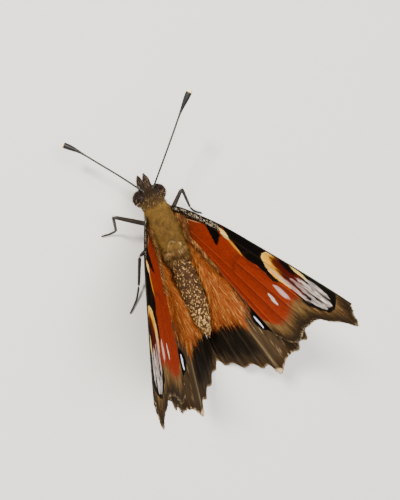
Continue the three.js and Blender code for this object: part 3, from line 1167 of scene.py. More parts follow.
# Wings
@dataclass(frozen=True)
class WingPlan:
    """One wing's outline in its own plane: X out along the costa, Y back.

    The margin lists vein ends and, between two of them, the middle of the cell.
    """

    root: list[tuple[float, float]]
    costa: list[tuple[float, float]]
    margin: list[tuple[float, float]]
    inner: list[tuple[float, float]]
    cell_end: float
    starts: list[float]
    vein_tip: float = 0.05
    vein_swell: float = 0.04
    cross_vein: float = 0.012

    def place(self, share: np.ndarray, row: np.ndarray) -> np.ndarray:
        """Flat places on the wing.

        Args:
            share: shares from the root to the margin.
            row: shares from the costa to the inner edge.

        Returns:
            One flat place a row.
        """
        root, costa, margin, inner = (Track(p) for p in (self.root, self.costa, self.margin, self.inner))
        s, t = share[:, None], row[:, None]
        blend = (1 - t) * costa.along(share) + t * inner.along(share)
        blend += (1 - s) * root.at(row) + s * margin.at(row)
        blend -= (1 - s) * (1 - t) * root.at([0.0]) + (1 - s) * t * root.at([1.0])
        blend -= s * (1 - t) * margin.at([0.0]) + s * t * margin.at([1.0])
        return blend

    def veins(self, share: np.ndarray, row: np.ndarray) -> np.ndarray:
        """How near places are to a vein.

        Args:
            share: shares from the root to the margin.
            row: shares from the costa to the inner edge.

        Returns:
            Numbers from 0 to 1, which is on a vein.
        """
        cells = len(self.starts) - 1
        width = self.vein_tip + self.vein_swell * (1 - share)
        near = np.zeros_like(share)
        for index, start in enumerate(self.starts):
            line = np.exp(-(((row * cells - index) / width) ** 2))
            near = np.maximum(near, line * (share >= start))
        across = np.exp(-(((share - self.cell_end) / self.cross_vein) ** 2))
        within = (row * cells > 1) & (row * cells < cells - 2)
        return np.maximum(near, across * within * 0.7)


FORE_PLAN = WingPlan(
    root=[(-0.7, -1.5), (-0.7, 0.6), (-0.5, 2.6)],
    costa=[(-0.7, -1.5), (2, -2.0), (5, -2.05), (10.5, -1.9), (16, -1.1), (22, -0.1), (27, 0.9), (29.4, 1.5)],
    margin=[
        (29.4, 1.5), (29.6, 3.0), (30.2, 4.4), (28.3, 5.2), (26.4, 6.1), (24.7, 6.9), (23.4, 8.5),
        (22.2, 10.2), (21.7, 12.0), (20.8, 13.6), (19.2, 14.6), (18.0, 14.8), (16.9, 14.8),
    ],
    inner=[(-0.5, 2.6), (1.6, 2.9), (6, 6.3), (12, 11.2), (16.9, 14.8)],
    cell_end=0.5,
    starts=[0, 0, 0.5, 0.5, 0, 0.3, 0],
)
HIND_PLAN = WingPlan(
    root=[(-0.7, -1.0), (-1.2, 0.6), (-1.5, 2.0)],
    costa=[(-0.7, -1.0), (5, -1.8), (12, -1.2), (17.5, 0.6), (20.8, 3.4)],
    margin=[
        (20.8, 3.4), (20.9, 5.0), (21.6, 6.4), (20.7, 8.0), (21.0, 9.6), (19.6, 11.0), (19.5, 12.8),
        (17.9, 14.8), (16.9, 18.5), (14.9, 17.8), (13.8, 19.0), (12.0, 19.0), (10.4, 20.6),
        (8.4, 20.6), (6.8, 21.8), (5.6, 21.4), (4.6, 21.2),
    ],
    inner=[(-1.5, 2.0), (-0.7, 6), (0.8, 12), (2.9, 18), (4.6, 21.2)],
    cell_end=0.42,
    starts=[0, 0, 0.42, 0.42, 0.42, 0, 0.25, 0, 0],
)


class Side(Enum):
    """The animal's left or right."""

    LEFT = 1
    RIGHT = -1

    @property
    def tag(self) -> str:
        """The letter that ends a node's name."""
        return "l" if self is Side.LEFT else "r"


@dataclass(frozen=True)
class Setting:
    """Where a wing's root is, and its dihedral, sweep and twist in degrees."""

    root: Point
    dihedral: float
    sweep: float
    twist: float

    def matrix(self, side: Side) -> Matrix:
        """From the wing's own plane to the animal's frame.

        Args:
            side: the animal's left or right.

        Returns:
            The turn and the shift.
        """
        hand = side.value
        turn = (Matrix.Rotation(-hand * math.radians(self.dihedral), 4, "Y")
                @ Matrix.Rotation(hand * math.radians(self.sweep), 4, "Z")
                @ Matrix.Rotation(-math.radians(self.twist), 4, "X"))
        place = Vector((hand * self.root[0], self.root[1], self.root[2]))
        return Matrix.Translation(place) @ turn


FORE_SETTINGS = {
    Side.LEFT: Setting((2.2, -1.2, 0.0), 67.5, 30.8, 10.3),
    Side.RIGHT: Setting((2.2, -1.2, 0.0), 70.5, 31.3, 11.5),
}
HIND_SETTINGS = {
    Side.LEFT: Setting((1.9, 2.2, -1.1), 53.0, 31.7, 0.0),
    Side.RIGHT: Setting((1.9, 2.2, -1.1), 53.0, 30.4, 0.0),
}


@dataclass
class WingPair:
    """The forewing and hindwing of one side, with the sheet that each is.

    The hindwing lies a pitch under the forewing as far as the fold. Past it, the wing droops into
    the trough beside the body, where it is tucked in. A wing that meets the floor eases to a rest
    just over it, so that its hair clears the floor.
    """

    side: Side
    thickness: float = 0.14
    rows: int = 140
    columns: int = 150
    vein_rise: float = 0.06
    cell_sag: float = 0.084
    sag_from: tuple[float, float] = (0.3, 0.9)
    tooth: float = 0.012
    tooth_turns: float = 210.0
    tooth_from: float = 0.965
    pitch: float = 1.04
    droop: float = 1.2
    droop_reach: float = 14.0
    tuck: float = 1.5
    tuck_width: float = 5.5
    parting: tuple[float, float] = (0.6, 4.0)
    fold_from: tuple[float, float] = (1.2, 2.4)
    floor_rest: float = 0.2
    floor_ease: float = 0.7

    def __post_init__(self) -> None:
        """Finds the turn from the hindwing's plane to the forewing's."""
        fore = FORE_SETTINGS[self.side].matrix(Side.LEFT)
        hind = HIND_SETTINGS[self.side].matrix(Side.LEFT)
        self.to_fore = np.array(fore.inverted() @ hind)

    def hind_height(self, flat: np.ndarray) -> np.ndarray:
        """Height of the hindwing over its own plane.

        Args:
            flat: places on the hindwing's plane.

        Returns:
            Close under the forewing where that covers it, then falling away into the trough.
        """
        seen = np.c_[flat, np.zeros(len(flat)), np.ones(len(flat))] @ self.to_fore.T
        under = -(seen[:, 2] + self.pitch) / self.to_fore[2, 2]
        root, tornus = self.fold_from, FORE_PLAN.inner[-1]
        slope = (tornus[1] - root[1]) / (tornus[0] - root[0])
        past = seen[:, 1] - (root[1] + slope * (seen[:, 0] - root[0]))
        beside = 1 - smooth(flat[:, 0], 1, self.tuck_width)
        trough = -self.droop * (np.maximum(0, flat[:, 1]) / self.droop_reach) ** 2 - self.tuck * beside
        share = smooth(past, *self.parting)
        return under * (1 - share) + trough * share

    def surface(self, plan: WingPlan, share: np.ndarray, row: np.ndarray, hind: bool) -> np.ndarray:
        """Places on the wing's upper face, with veins and cells in relief, eased off the floor.

        Args:
            plan: the wing's outline and veins.
            share: shares from the root to the margin.
            row: shares from the costa to the inner edge.
            hind: whether it is the hindwing.

        Returns:
            One place a row, in the animal's frame.
        """
        flat = plan.place(share, row)
        cells = len(plan.starts) - 1
        rise = plan.veins(share, row) * self.vein_rise
        rise -= self.cell_sag * np.sin(np.pi * (row * cells % 1)) ** 2 * smooth(share, *self.sag_from)
        height = (self.hind_height(flat) if hind else np.zeros(len(flat))) + rise + self.thickness / 2
        local = np.c_[self.side.value * flat[:, 0], flat[:, 1], height, np.ones(len(flat))]
        setting = (HIND_SETTINGS if hind else FORE_SETTINGS)[self.side]
        places = (local @ np.array(setting.matrix(self.side)).T)[:, :3]
        above = places[:, 2] + STAND_HEIGHT
        span = self.floor_ease - self.floor_rest
        low = np.minimum(above, self.floor_ease)
        eased = self.floor_rest + span * np.exp((low - self.floor_ease) / span)
        places[:, 2] = np.where(above < self.floor_ease, eased, above) - STAND_HEIGHT
        return places

    def sheet(self, anchor: Anchor, name: str, plan: WingPlan, hind: bool,
              finishes: list[bpy.types.Material]) -> bpy.types.Object:
        """Builds one wing as a thin sheet with an upper and a lower face.

        Args:
            anchor: the scene's place of the animal.
            name: the piece's name.
            plan: the wing's outline and veins.
            hind: whether it is the hindwing.
            finishes: the upper and the lower material.

        Returns:
            The piece.
        """
        shape = bmesh.new()
        bmesh.ops.create_grid(shape, x_segments=self.rows, y_segments=self.columns, size=1.0)
        flat_spots = np.array([v.co[:2] for v in shape.verts])
        share, row = (flat_spots[:, 0] + 1) / 2, (flat_spots[:, 1] + 1) / 2
        teeth = self.tooth * np.abs(np.sin(row * self.tooth_turns)) * smooth(share, self.tooth_from, 1.0)
        places = anchor.points(self.surface(plan, share - teeth, row, hind))
        for vert, place in zip(shape.verts, places):
            vert.co = place
        if self.side is Side.RIGHT:
            bmesh.ops.reverse_faces(shape, faces=shape.faces)
        made = piece(name, shape, finishes)
        mesh = made.data
        map_points(mesh, "Plane", (plan.place(share, row) + PLANE_SHIFT) / PLANE_SPAN)
        store(mesh, "vein", plan.veins(share, row))
        store(mesh, "edge", share)
        store(mesh, "row", row)
        wall = made.modifiers.new("thickness", "SOLIDIFY")
        wall.thickness = self.thickness * MM
        wall.offset = -1.0
        wall.material_offset = 1
        wall.material_offset_rim = 1
        return made

    def grow(self, plan: WingPlan, hind: bool, share: np.ndarray,
             row: np.ndarray) -> tuple[np.ndarray, np.ndarray, np.ndarray]:
        """Finds where hair stands on the wing.

        Args:
            plan: the wing's outline and veins.
            hind: whether it is the hindwing.
            share: shares from the root to the margin.
            row: shares from the costa to the inner edge.

        Returns:
            The roots, the way to the margin and the way up there.
        """
        roots = self.surface(plan, share, row, hind)
        ahead = self.surface(plan, share + 0.02, row, hind) - roots
        inward = self.surface(plan, share, np.clip(row + 0.01, 0, 1), hind)
        outward = self.surface(plan, share, np.clip(row - 0.01, 0, 1), hind)
        up = np.cross(ahead, inward - outward) * self.side.value
        return roots, unit(ahead), unit(up)


@dataclass
class Wings:
    """All four wings with their hair."""

    hairs: int = 17000
    hair_length: tuple[float, float] = (0.9, 2.6)
    hair_reach: float = 0.66
    hair_row: float = 0.38
    root_hairs: int = 12000
    root_length: tuple[float, float] = (1.2, 2.4)
    fringe: int = 1800
    fringe_length: tuple[float, float] = (0.22, 0.48)
    costal: int = 520
    costal_length: tuple[float, float] = (0.3, 0.6)
    inner: int = 1800
    inner_length: tuple[float, float] = (0.6, 1.4)

    def build(self, anchor: Anchor, finishes: Finishes) -> None:
        """Makes each side's sheets and their hair.

        Args:
            anchor: the scene's place of the animal.
            finishes: the materials.
        """
        for side in Side:
            pair = WingPair(side)
            upper, under = finishes[Finish.FORE_UPPER], finishes[Finish.UNDER]
            fore = pair.sheet(anchor, f"forewing_sheet_{side.tag}", FORE_PLAN, False, [upper, under])
            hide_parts(f"forewing_{side.tag}")
            hind = pair.sheet(anchor, f"hindwing_sheet_{side.tag}", HIND_PLAN, True,
                              [finishes[Finish.HIND_UPPER], under])
            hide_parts(f"hindwing_{side.tag}")
            self.field_hair(anchor, pair, finishes[Finish.HIND_HAIR])
            self.root_hair(anchor, pair, finishes[Finish.HIND_HAIR])
            self.margin_fringe(anchor, pair, finishes[Finish.FRINGE])
            self.costal_hair(anchor, pair, finishes[Finish.COSTAL_HAIR])
            self.inner_hair(anchor, pair, finishes[Finish.WING_ROOT_HAIR])

    def field_hair(self, anchor: Anchor, pair: WingPair, finish: bpy.types.Material) -> None:
        """Long orange-gold hair on the root and inner fields of the hindwing.

        Args:
            anchor: the scene's place of the animal.
            pair: the wings that it grows on.
            finish: its material.
        """
        draw = np.random.default_rng(FIELD_SEED + pair.side.value)
        share = draw.random(self.hairs) ** 0.8 * self.hair_reach
        row = self.hair_row + draw.random(self.hairs) * (1 - self.hair_row)
        inner_part = smooth(row - 0.06 * share, 0.4, 0.47)
        keep = draw.random(self.hairs) < (1 - smooth(share, 0.56, self.hair_reach)) * inner_part
        share, row = share[keep], row[keep]
        count = len(share)
        roots, ahead, up = pair.grow(HIND_PLAN, True, share, row)
        length = draw.uniform(*self.hair_length, count)
        lie = ahead + draw.normal(0, 0.12, (count, 3))
        tone, unwrap = draw.random(count), np.stack([share, row], axis=1)
        coat = Tufts(roots, lie, up, length, 0.055, tone, unwrap, lift=0.16)
        made = coat.build(anchor, f"hindwing_hair_{pair.side.tag}", finish)

    def root_hair(self, anchor: Anchor, pair: WingPair, finish: bpy.types.Material) -> None:
        """Hair at the wing roots and along the inner fold, leaning over the sides of the body.

        Args:
            anchor: the scene's place of the animal.
            pair: the wings that it grows on.
            finish: its material.
        """
        draw = np.random.default_rng(ROOT_SEED + pair.side.value)
        folds, count = self.root_hairs // 2, self.root_hairs
        share = np.concatenate([draw.random(folds) * 0.55, draw.random(folds) * 0.16])
        row = np.concatenate([draw.uniform(0.72, 0.97, folds), draw.uniform(0.2, 1.0, folds)])
        roots, ahead, up = pair.grow(HIND_PLAN, True, share, row)
        toward = np.tile([-float(pair.side.value), 0.0, 0.7], (count, 1))
        lean = np.concatenate([draw.uniform(0.3, 0.8, folds), np.full(folds, 0.12)])[:, None]
        lie = ahead + toward * lean
        lie += up * 0.25 + draw.normal(0, 0.12, (count, 3))
        length = draw.uniform(*self.root_length, count)
        tone, unwrap = draw.random(count), np.stack([share, row], axis=1)
        coat = Tufts(roots, lie, up, length, 0.06, tone, unwrap, lift=0.2)
        made = coat.build(anchor, f"wing_root_hair_{pair.side.tag}", finish)

    def margin_fringe(self, anchor: Anchor, pair: WingPair, finish: bpy.types.Material) -> None:
        """Short pale and brown hair along the outer margins.

        Args:
            anchor: the scene's place of the animal.
            pair: the wings that it grows on.
            finish: its material.
        """
        draw = np.random.default_rng(FRINGE_SEED + pair.side.value)
        count = self.fringe
        for plan, hind, label in ((FORE_PLAN, False, "fore"), (HIND_PLAN, True, "hind")):
            row = draw.random(count)
            share = np.full(count, 0.985)
            roots, ahead, up = pair.grow(plan, hind, share, row)
            lie = ahead + draw.normal(0, 0.15, (count, 3))
            middle = roots - up * pair.thickness / 2
            length = draw.uniform(*self.fringe_length, count)
            tone, unwrap = draw.random(count), np.stack([share, row], axis=1)
            coat = Tufts(middle, lie, up, length, 0.055, tone, unwrap, lift=0.02)
            made = coat.build(anchor, f"{label}wing_fringe_{pair.side.tag}", finish)

    def costal_hair(self, anchor: Anchor, pair: WingPair, finish: bpy.types.Material) -> None:
        """Pale slanting dashes of hair on the root half of the forewing's costa.

        Args:
            anchor: the scene's place of the animal.
            pair: the wings that it grows on.
            finish: its material.
        """
        draw = np.random.default_rng(COSTAL_SEED + pair.side.value)
        count = self.costal
        share = draw.uniform(0.02, 0.34, count)
        row = draw.uniform(0.005, 0.11, count)
        roots, ahead, up = pair.grow(FORE_PLAN, False, share, row)
        lie = ahead + unit(np.cross(up, ahead)) * draw.uniform(-1.2, -0.5, (count, 1))
        length = draw.uniform(*self.costal_length, count)
        tone, unwrap = draw.random(count), np.stack([share, row], axis=1)
        coat = Tufts(roots, lie, up, length, 0.05, tone, unwrap, lift=0.2)
        made = coat.build(anchor, f"costal_hair_{pair.side.tag}", finish)

    def inner_hair(self, anchor: Anchor, pair: WingPair, finish: bpy.types.Material) -> None:
        """Golden hair along the root half of the forewing's inner edge and over its root.

        Args:
            anchor: the scene's place of the animal.
            pair: the wings that it grows on.
            finish: its material.
        """
        draw = np.random.default_rng(INNER_SEED + pair.side.value)
        edge, count = self.inner // 2, self.inner
        share = np.concatenate([draw.uniform(0.0, 0.4, edge), draw.uniform(0.0, 0.12, count - edge)])
        row = np.concatenate([draw.uniform(0.9, 1.0, edge), draw.uniform(0.25, 1.0, count - edge)])
        roots, ahead, up = pair.grow(FORE_PLAN, False, share, row)
        behind = np.tile([-0.5 * pair.side.value, 0.8, -0.2], (count, 1))
        lie = ahead + behind * draw.uniform(0.0, 1.5, (count, 1))
        lie += draw.normal(0, 0.15, (count, 3))
        length = draw.uniform(*self.inner_length, count)
        tone, unwrap = draw.random(count), np.stack([share, row], axis=1)
        coat = Tufts(roots, lie, up, length, 0.05, tone, unwrap, lift=0.2)
        made = coat.build(anchor, f"inner_hair_{pair.side.tag}", finish)


# Body
class Growth(Enum):
    """How a field of the coat lies."""

    SLEEK = "back along the body"
    SPREAD = "back, and out to both sides"
    FACE = "forward and up, standing"
    COLLAR = "standing"
    DRAPED = "back, over what is behind it"


class Shade(Enum):
    """How the tones of a field of the coat are spread."""

    EVEN = "one range all over"
    SHIELD = "with the outline of the shield"
    SPECKLED = "in small clumps, paler toward the tail"
    FACE = "darkest in front"


@dataclass(frozen=True)
class CoatRegion:
    """One field of the body's coat: where it grows, how much, how long and how it lies."""

    name: str
    inside: np.ndarray
    count: int
    span: tuple[float, float]
    width: float
    lift: float
    growth: Growth
    shade: Shade
    finish: Finish
    slot: str


@dataclass
class Trunk:
    """Head, thorax and abdomen as one skin, with fur and scales over it.

    The thorax lists its front, back, half-width, top and bottom, and the abdomen its start, end
    and radius. The skin lies inside them by the depth of the coat that grows there.
    """

    thorax: tuple[float, float, float, float, float] = (-4.4, 4.3, 2.4, 1.7, -3.1)
    bluntness: float = 0.52
    abdomen: tuple[float, float, float] = (3.4, 17.3, 1.9)
    abdomen_rings: int = 34
    segments: int = 9
    segment_depth: float = 0.05
    slimmest: float = 0.3
    lean: float = 0.4
    shield: tuple[Point, Point] = ((0.0, 2.9, 0.9), (0.85, 0.75, 0.5))
    collar: tuple[Point, Point] = ((0.0, -4.3, -1.1), (1.5, 0.9, 1.3))
    head_centre: Point = (0.0, -5.3, -1.4)
    head_radii: Point = (1.55, 1.4, 1.5)
    thorax_coat: float = 0.42
    belly_coat: float = 0.14
    face_coat: float = 0.28
    voxel: float = 0.13
    thorax_hairs: int = 19000
    belly_hairs: int = 19000
    face_hairs: int = 7000
    collar_hairs: int = 3500
    waist_hairs: int = 6000
    clump: float = 0.17
    chevron: tuple[tuple[float, float], ...] = ((1.2, 2.75), (0.35, 1.55), (-0.75, 2.35), (-0.15, 3.45),
                                                (0.75, 3.5))

    def build(self, anchor: Anchor, finishes: Finishes) -> None:
        """Makes the skin, then roots the coat on it.

        Args:
            anchor: the scene's place of the animal.
            finishes: the materials.
        """
        skin = self.skin(anchor, finishes[Finish.SKIN])
        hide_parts("thorax", "abdomen", "head")
        self.coat(anchor, skin, finishes)

    def skin(self, anchor: Anchor, finish: bpy.types.Material) -> bpy.types.Object:
        """Joins swollen forms and melts them into one closed skin.

        Args:
            anchor: the scene's place of the animal.
            finish: its material.

        Returns:
            The skin.
        """
        shape = bmesh.new()
        front, back, half_width, top, bottom = self.thorax
        middle = (0, (front + back) / 2, (top + bottom) / 2)
        barrel = (half_width - self.thorax_coat, (back - front) / 2, (top - bottom) / 2 - self.thorax_coat)
        self.blob(shape, anchor, middle, barrel, power=self.bluntness)
        self.blob(shape, anchor, *self.shield)
        self.blob(shape, anchor, *self.collar)
        self.blob(shape, anchor, self.head_centre, tuple(r - self.face_coat for r in self.head_radii))
        self.segmented(shape, anchor)
        made = piece("body_skin", shape, [finish])
        melt = made.modifiers.new("melt", "REMESH")
        melt.mode = "VOXEL"
        melt.voxel_size = self.voxel * MM
        ease = made.modifiers.new("ease", "SMOOTH")
        ease.iterations = 4
        graph = bpy.context.evaluated_depsgraph_get()
        melted = bpy.data.meshes.new_from_object(made.evaluated_get(graph))
        made.modifiers.clear()
        made.data = melted
        melted.shade_smooth()
        LOG.info("body skin: %d faces", len(melted.polygons))
        return made

    def segmented(self, shape: bmesh.types.BMesh, anchor: Anchor) -> None:
        """Adds the abdomen: swollen in the middle, narrow at both ends, ringed by its segments.

        Args:
            shape: the mesh that it joins.
            anchor: the scene's place of the animal.
        """
        start, end, radius = self.abdomen
        for index in range(self.abdomen_rings):
            u = index / (self.abdomen_rings - 1)
            swell = math.sin(math.pi * min(1, 0.16 + 0.5 * u)) ** 0.8
            taper = math.sqrt(max(0.0, 1 - u**3.4))
            waist = 1 - self.segment_depth * math.cos(2 * math.pi * u * self.segments)
            size = max(self.slimmest, radius * (0.35 + 0.65 * swell) * taper * waist) - self.belly_coat
            centre = (self.lean * u * u, start + (end - start - 0.25) * u, -0.6 - u)
            self.blob(shape, anchor, centre, (size, 0.55, size))

    @staticmethod
    def blob(shape: bmesh.types.BMesh, anchor: Anchor, centre: Point, radii: Point,
             power: float = 1.0) -> None:
        """Adds one swollen form.

        Args:
            shape: the mesh that it joins.
            anchor: the scene's place of the animal.
            centre: its middle.
            radii: its half-sizes.
            power: how round its ends are, where less than 1 makes them blunter.
        """
        made = bmesh.ops.create_uvsphere(shape, u_segments=28, v_segments=18, radius=1.0)
        for vert in made["verts"]:
            x, z, y = vert.co
            ring = max(1e-6, math.hypot(x, z))
            full = ring**power / ring
            vert.co = anchor.point((centre[0] + x * full * radii[0], centre[1] + y * radii[1],
                                    centre[2] + z * full * radii[2]))

    def coat(self, anchor: Anchor, skin: bpy.types.Object, finishes: Finishes) -> None:
        """Roots hair over the skin: long on the thorax, short on the belly and the face.

        Args:
            anchor: the scene's place of the animal.
            skin: the body's skin.
            finishes: the materials.
        """
        draw = np.random.default_rng(BODY_SEED)
        points = (coordinates(skin.data) - np.array(anchor.origin)) / MM
        skin.data.calc_loop_triangles()
        corners = np.empty(len(skin.data.loop_triangles) * 3, dtype=np.int32)
        skin.data.loop_triangles.foreach_get("vertices", corners)
        triangles = points[corners.reshape(-1, 3)]
        normal = np.cross(triangles[:, 1] - triangles[:, 0], triangles[:, 2] - triangles[:, 0])
        area = np.linalg.norm(normal, axis=1)
        normal /= area[:, None] + 1e-12
        for region in self.regions(triangles.mean(axis=1)):
            weight = area * region.inside
            pick = draw.choice(len(area), size=region.count, p=weight / weight.sum())
            mix = draw.dirichlet((1, 1, 1), region.count)
            roots = (triangles[pick] * mix[:, :, None]).sum(axis=1)
            lie = self.lie_of(region.growth, roots, normal[pick], draw)
            tone = self.tone_of(region.shade, roots, draw)
            turn = np.arctan2(roots[:, 2] + 1.0, roots[:, 0]) / (2 * math.pi) + 0.5
            unwrap = np.stack([turn, (roots[:, 1] + 8) / 26], axis=1)
            length = draw.uniform(*region.span, region.count)
            coat = Tufts(roots, lie, normal[pick], length, region.width, tone, unwrap, region.lift)
            made = coat.build(anchor, region.name, finishes[region.finish])

    def regions(self, middle: np.ndarray) -> tuple[CoatRegion, ...]:
        """The fields of the coat.

        Args:
            middle: the middle of each of the skin's triangles.

        Returns:
            The fields, in the order in which they grow.
        """
        y, z = middle[:, 1], middle[:, 2]
        trunk = (y < WAIST) & (y > NECK)
        return (
            CoatRegion("thorax_fur_upper", trunk & (z > -0.4), self.thorax_hairs, (0.45, 0.85), 0.045, 0.26,
                       Growth.SPREAD, Shade.SHIELD, Finish.THORAX_FUR, "fur"),
            CoatRegion("thorax_fur_lower", trunk & (z <= -0.4), self.thorax_hairs, (0.6, 1.1), 0.055, 0.4,
                       Growth.SPREAD, Shade.EVEN, Finish.THORAX_FUR, "fur"),
            CoatRegion("abdomen_scales", y >= WAIST, self.belly_hairs, (0.24, 0.42), 0.12, 0.25,
                       Growth.SLEEK, Shade.SPECKLED, Finish.BELLY_SCALES, "belly"),
            CoatRegion("head_fur", y <= NECK, self.face_hairs, (0.3, 0.6), 0.05, 0.7,
                       Growth.FACE, Shade.FACE, Finish.FACE_FUR, "fur"),
            CoatRegion("collar_fur", (y > -4.9) & (y < -3.6), self.collar_hairs, (0.4, 0.8), 0.05, 0.4,
                       Growth.COLLAR, Shade.EVEN, Finish.COLLAR_FUR, "fur"),
            CoatRegion("waist_fur", (y > 3.0) & (y < 4.5) & (z > -1.6), self.waist_hairs, (0.8, 1.6), 0.05,
                       0.1, Growth.DRAPED, Shade.EVEN, Finish.WAIST_FUR, "fur"),
        )

    @staticmethod
    def lie_of(growth: Growth, roots: np.ndarray, up: np.ndarray, draw: np.random.Generator) -> np.ndarray:
        """Which way hairs point.

        Args:
            growth: how their field lies.
            roots: where they stand.
            up: the way up from the skin there.
            draw: the source of chance.

        Returns:
            One direction a row.
        """
        lie = np.tile([0.0, 1.0, 0.0], (len(roots), 1))
        if growth is Growth.FACE:
            lie = np.array([0.0, -0.35, 0.25]) + up * 0.7 + draw.normal(0, 0.25, roots.shape)
        elif growth is Growth.COLLAR:
            lie = up * 0.6 + np.array([0.0, 0.1, 0.1]) + draw.normal(0, 0.25, roots.shape)
        elif growth is Growth.SPREAD:
            lie[:, 0] += roots[:, 0] * 0.22
        elif growth is Growth.DRAPED:
            lie[:, 0] += roots[:, 0] * 0.2
            lie[:, 2] -= 0.12
        if growth is not Growth.DRAPED:
            lie = lie - up * np.sum(lie * up, axis=1)[:, None] * 0.85
        return lie + draw.normal(0, 0.14, roots.shape)

    def tone_of(self, shade: Shade, roots: np.ndarray, draw: np.random.Generator) -> np.ndarray:
        """How light hairs are.

        Args:
            shade: how the tones of their field are spread.
            roots: where they stand.
            draw: the source of chance.

        Returns:
            Tones from 0 to 1, the palest.
        """
        tone = draw.random(len(roots))
        if shade is Shade.SPECKLED:
            tone = self.clumped(draw, roots) * 0.6 + tone * 0.4
            return np.clip(tone + 0.2 * smooth(roots[:, 1], 9.0, 17.0), 0, 1)
        if shade is Shade.FACE:
            return np.clip(tone * 0.85 + 0.08 * smooth(roots[:, 1], -6.2, NECK), 0, 1)
        if shade is Shade.SHIELD:
            return self.shield_tone(roots, tone * 0.93)
        return tone

    def clumped(self, draw: np.random.Generator, roots: np.ndarray) -> np.ndarray:
        """One random tone for each small cube of space, so that neighbours share it.

        Args:
            draw: the source of chance.
            roots: where the hairs stand.

        Returns:
            Each hair's tone.
        """
        cells = np.floor(roots / self.clump).astype(int)
        keys, index = np.unique(cells, axis=0, return_inverse=True)
        return draw.random(len(keys))[index.ravel()]

    def shield_tone(self, roots: np.ndarray, tone: np.ndarray) -> np.ndarray:
        """Makes the hairs pale along the outline of the scutellum, and lighter inside it.

        Args:
            roots: where the hairs stand.
            tone: each hair's tone before.

        Returns:
            Each hair's tone, 1 for the palest.
        """
        outline = np.array(self.chevron + self.chevron[:1])
        near = np.full(len(roots), np.inf)
        for start, end in zip(outline[:-1], outline[1:]):
            run = end - start
            along = np.clip(((roots[:, :2] - start) @ run) / (run @ run), 0, 1)
            gap = np.linalg.norm(roots[:, :2] - start - along[:, None] * run, axis=1)
            near = np.minimum(near, gap)
        centre = outline[:-1].mean(axis=0)
        within = np.linalg.norm(roots[:, :2] - centre, axis=1) < 0.7
        tone = np.where(within, 0.35 + tone * 0.5, tone)
        tone = np.where((near > 0.1) & (near < 0.24), tone * 0.35, tone)
        return np.where((near < 0.08) & (tone > 0.2), 0.968, tone)


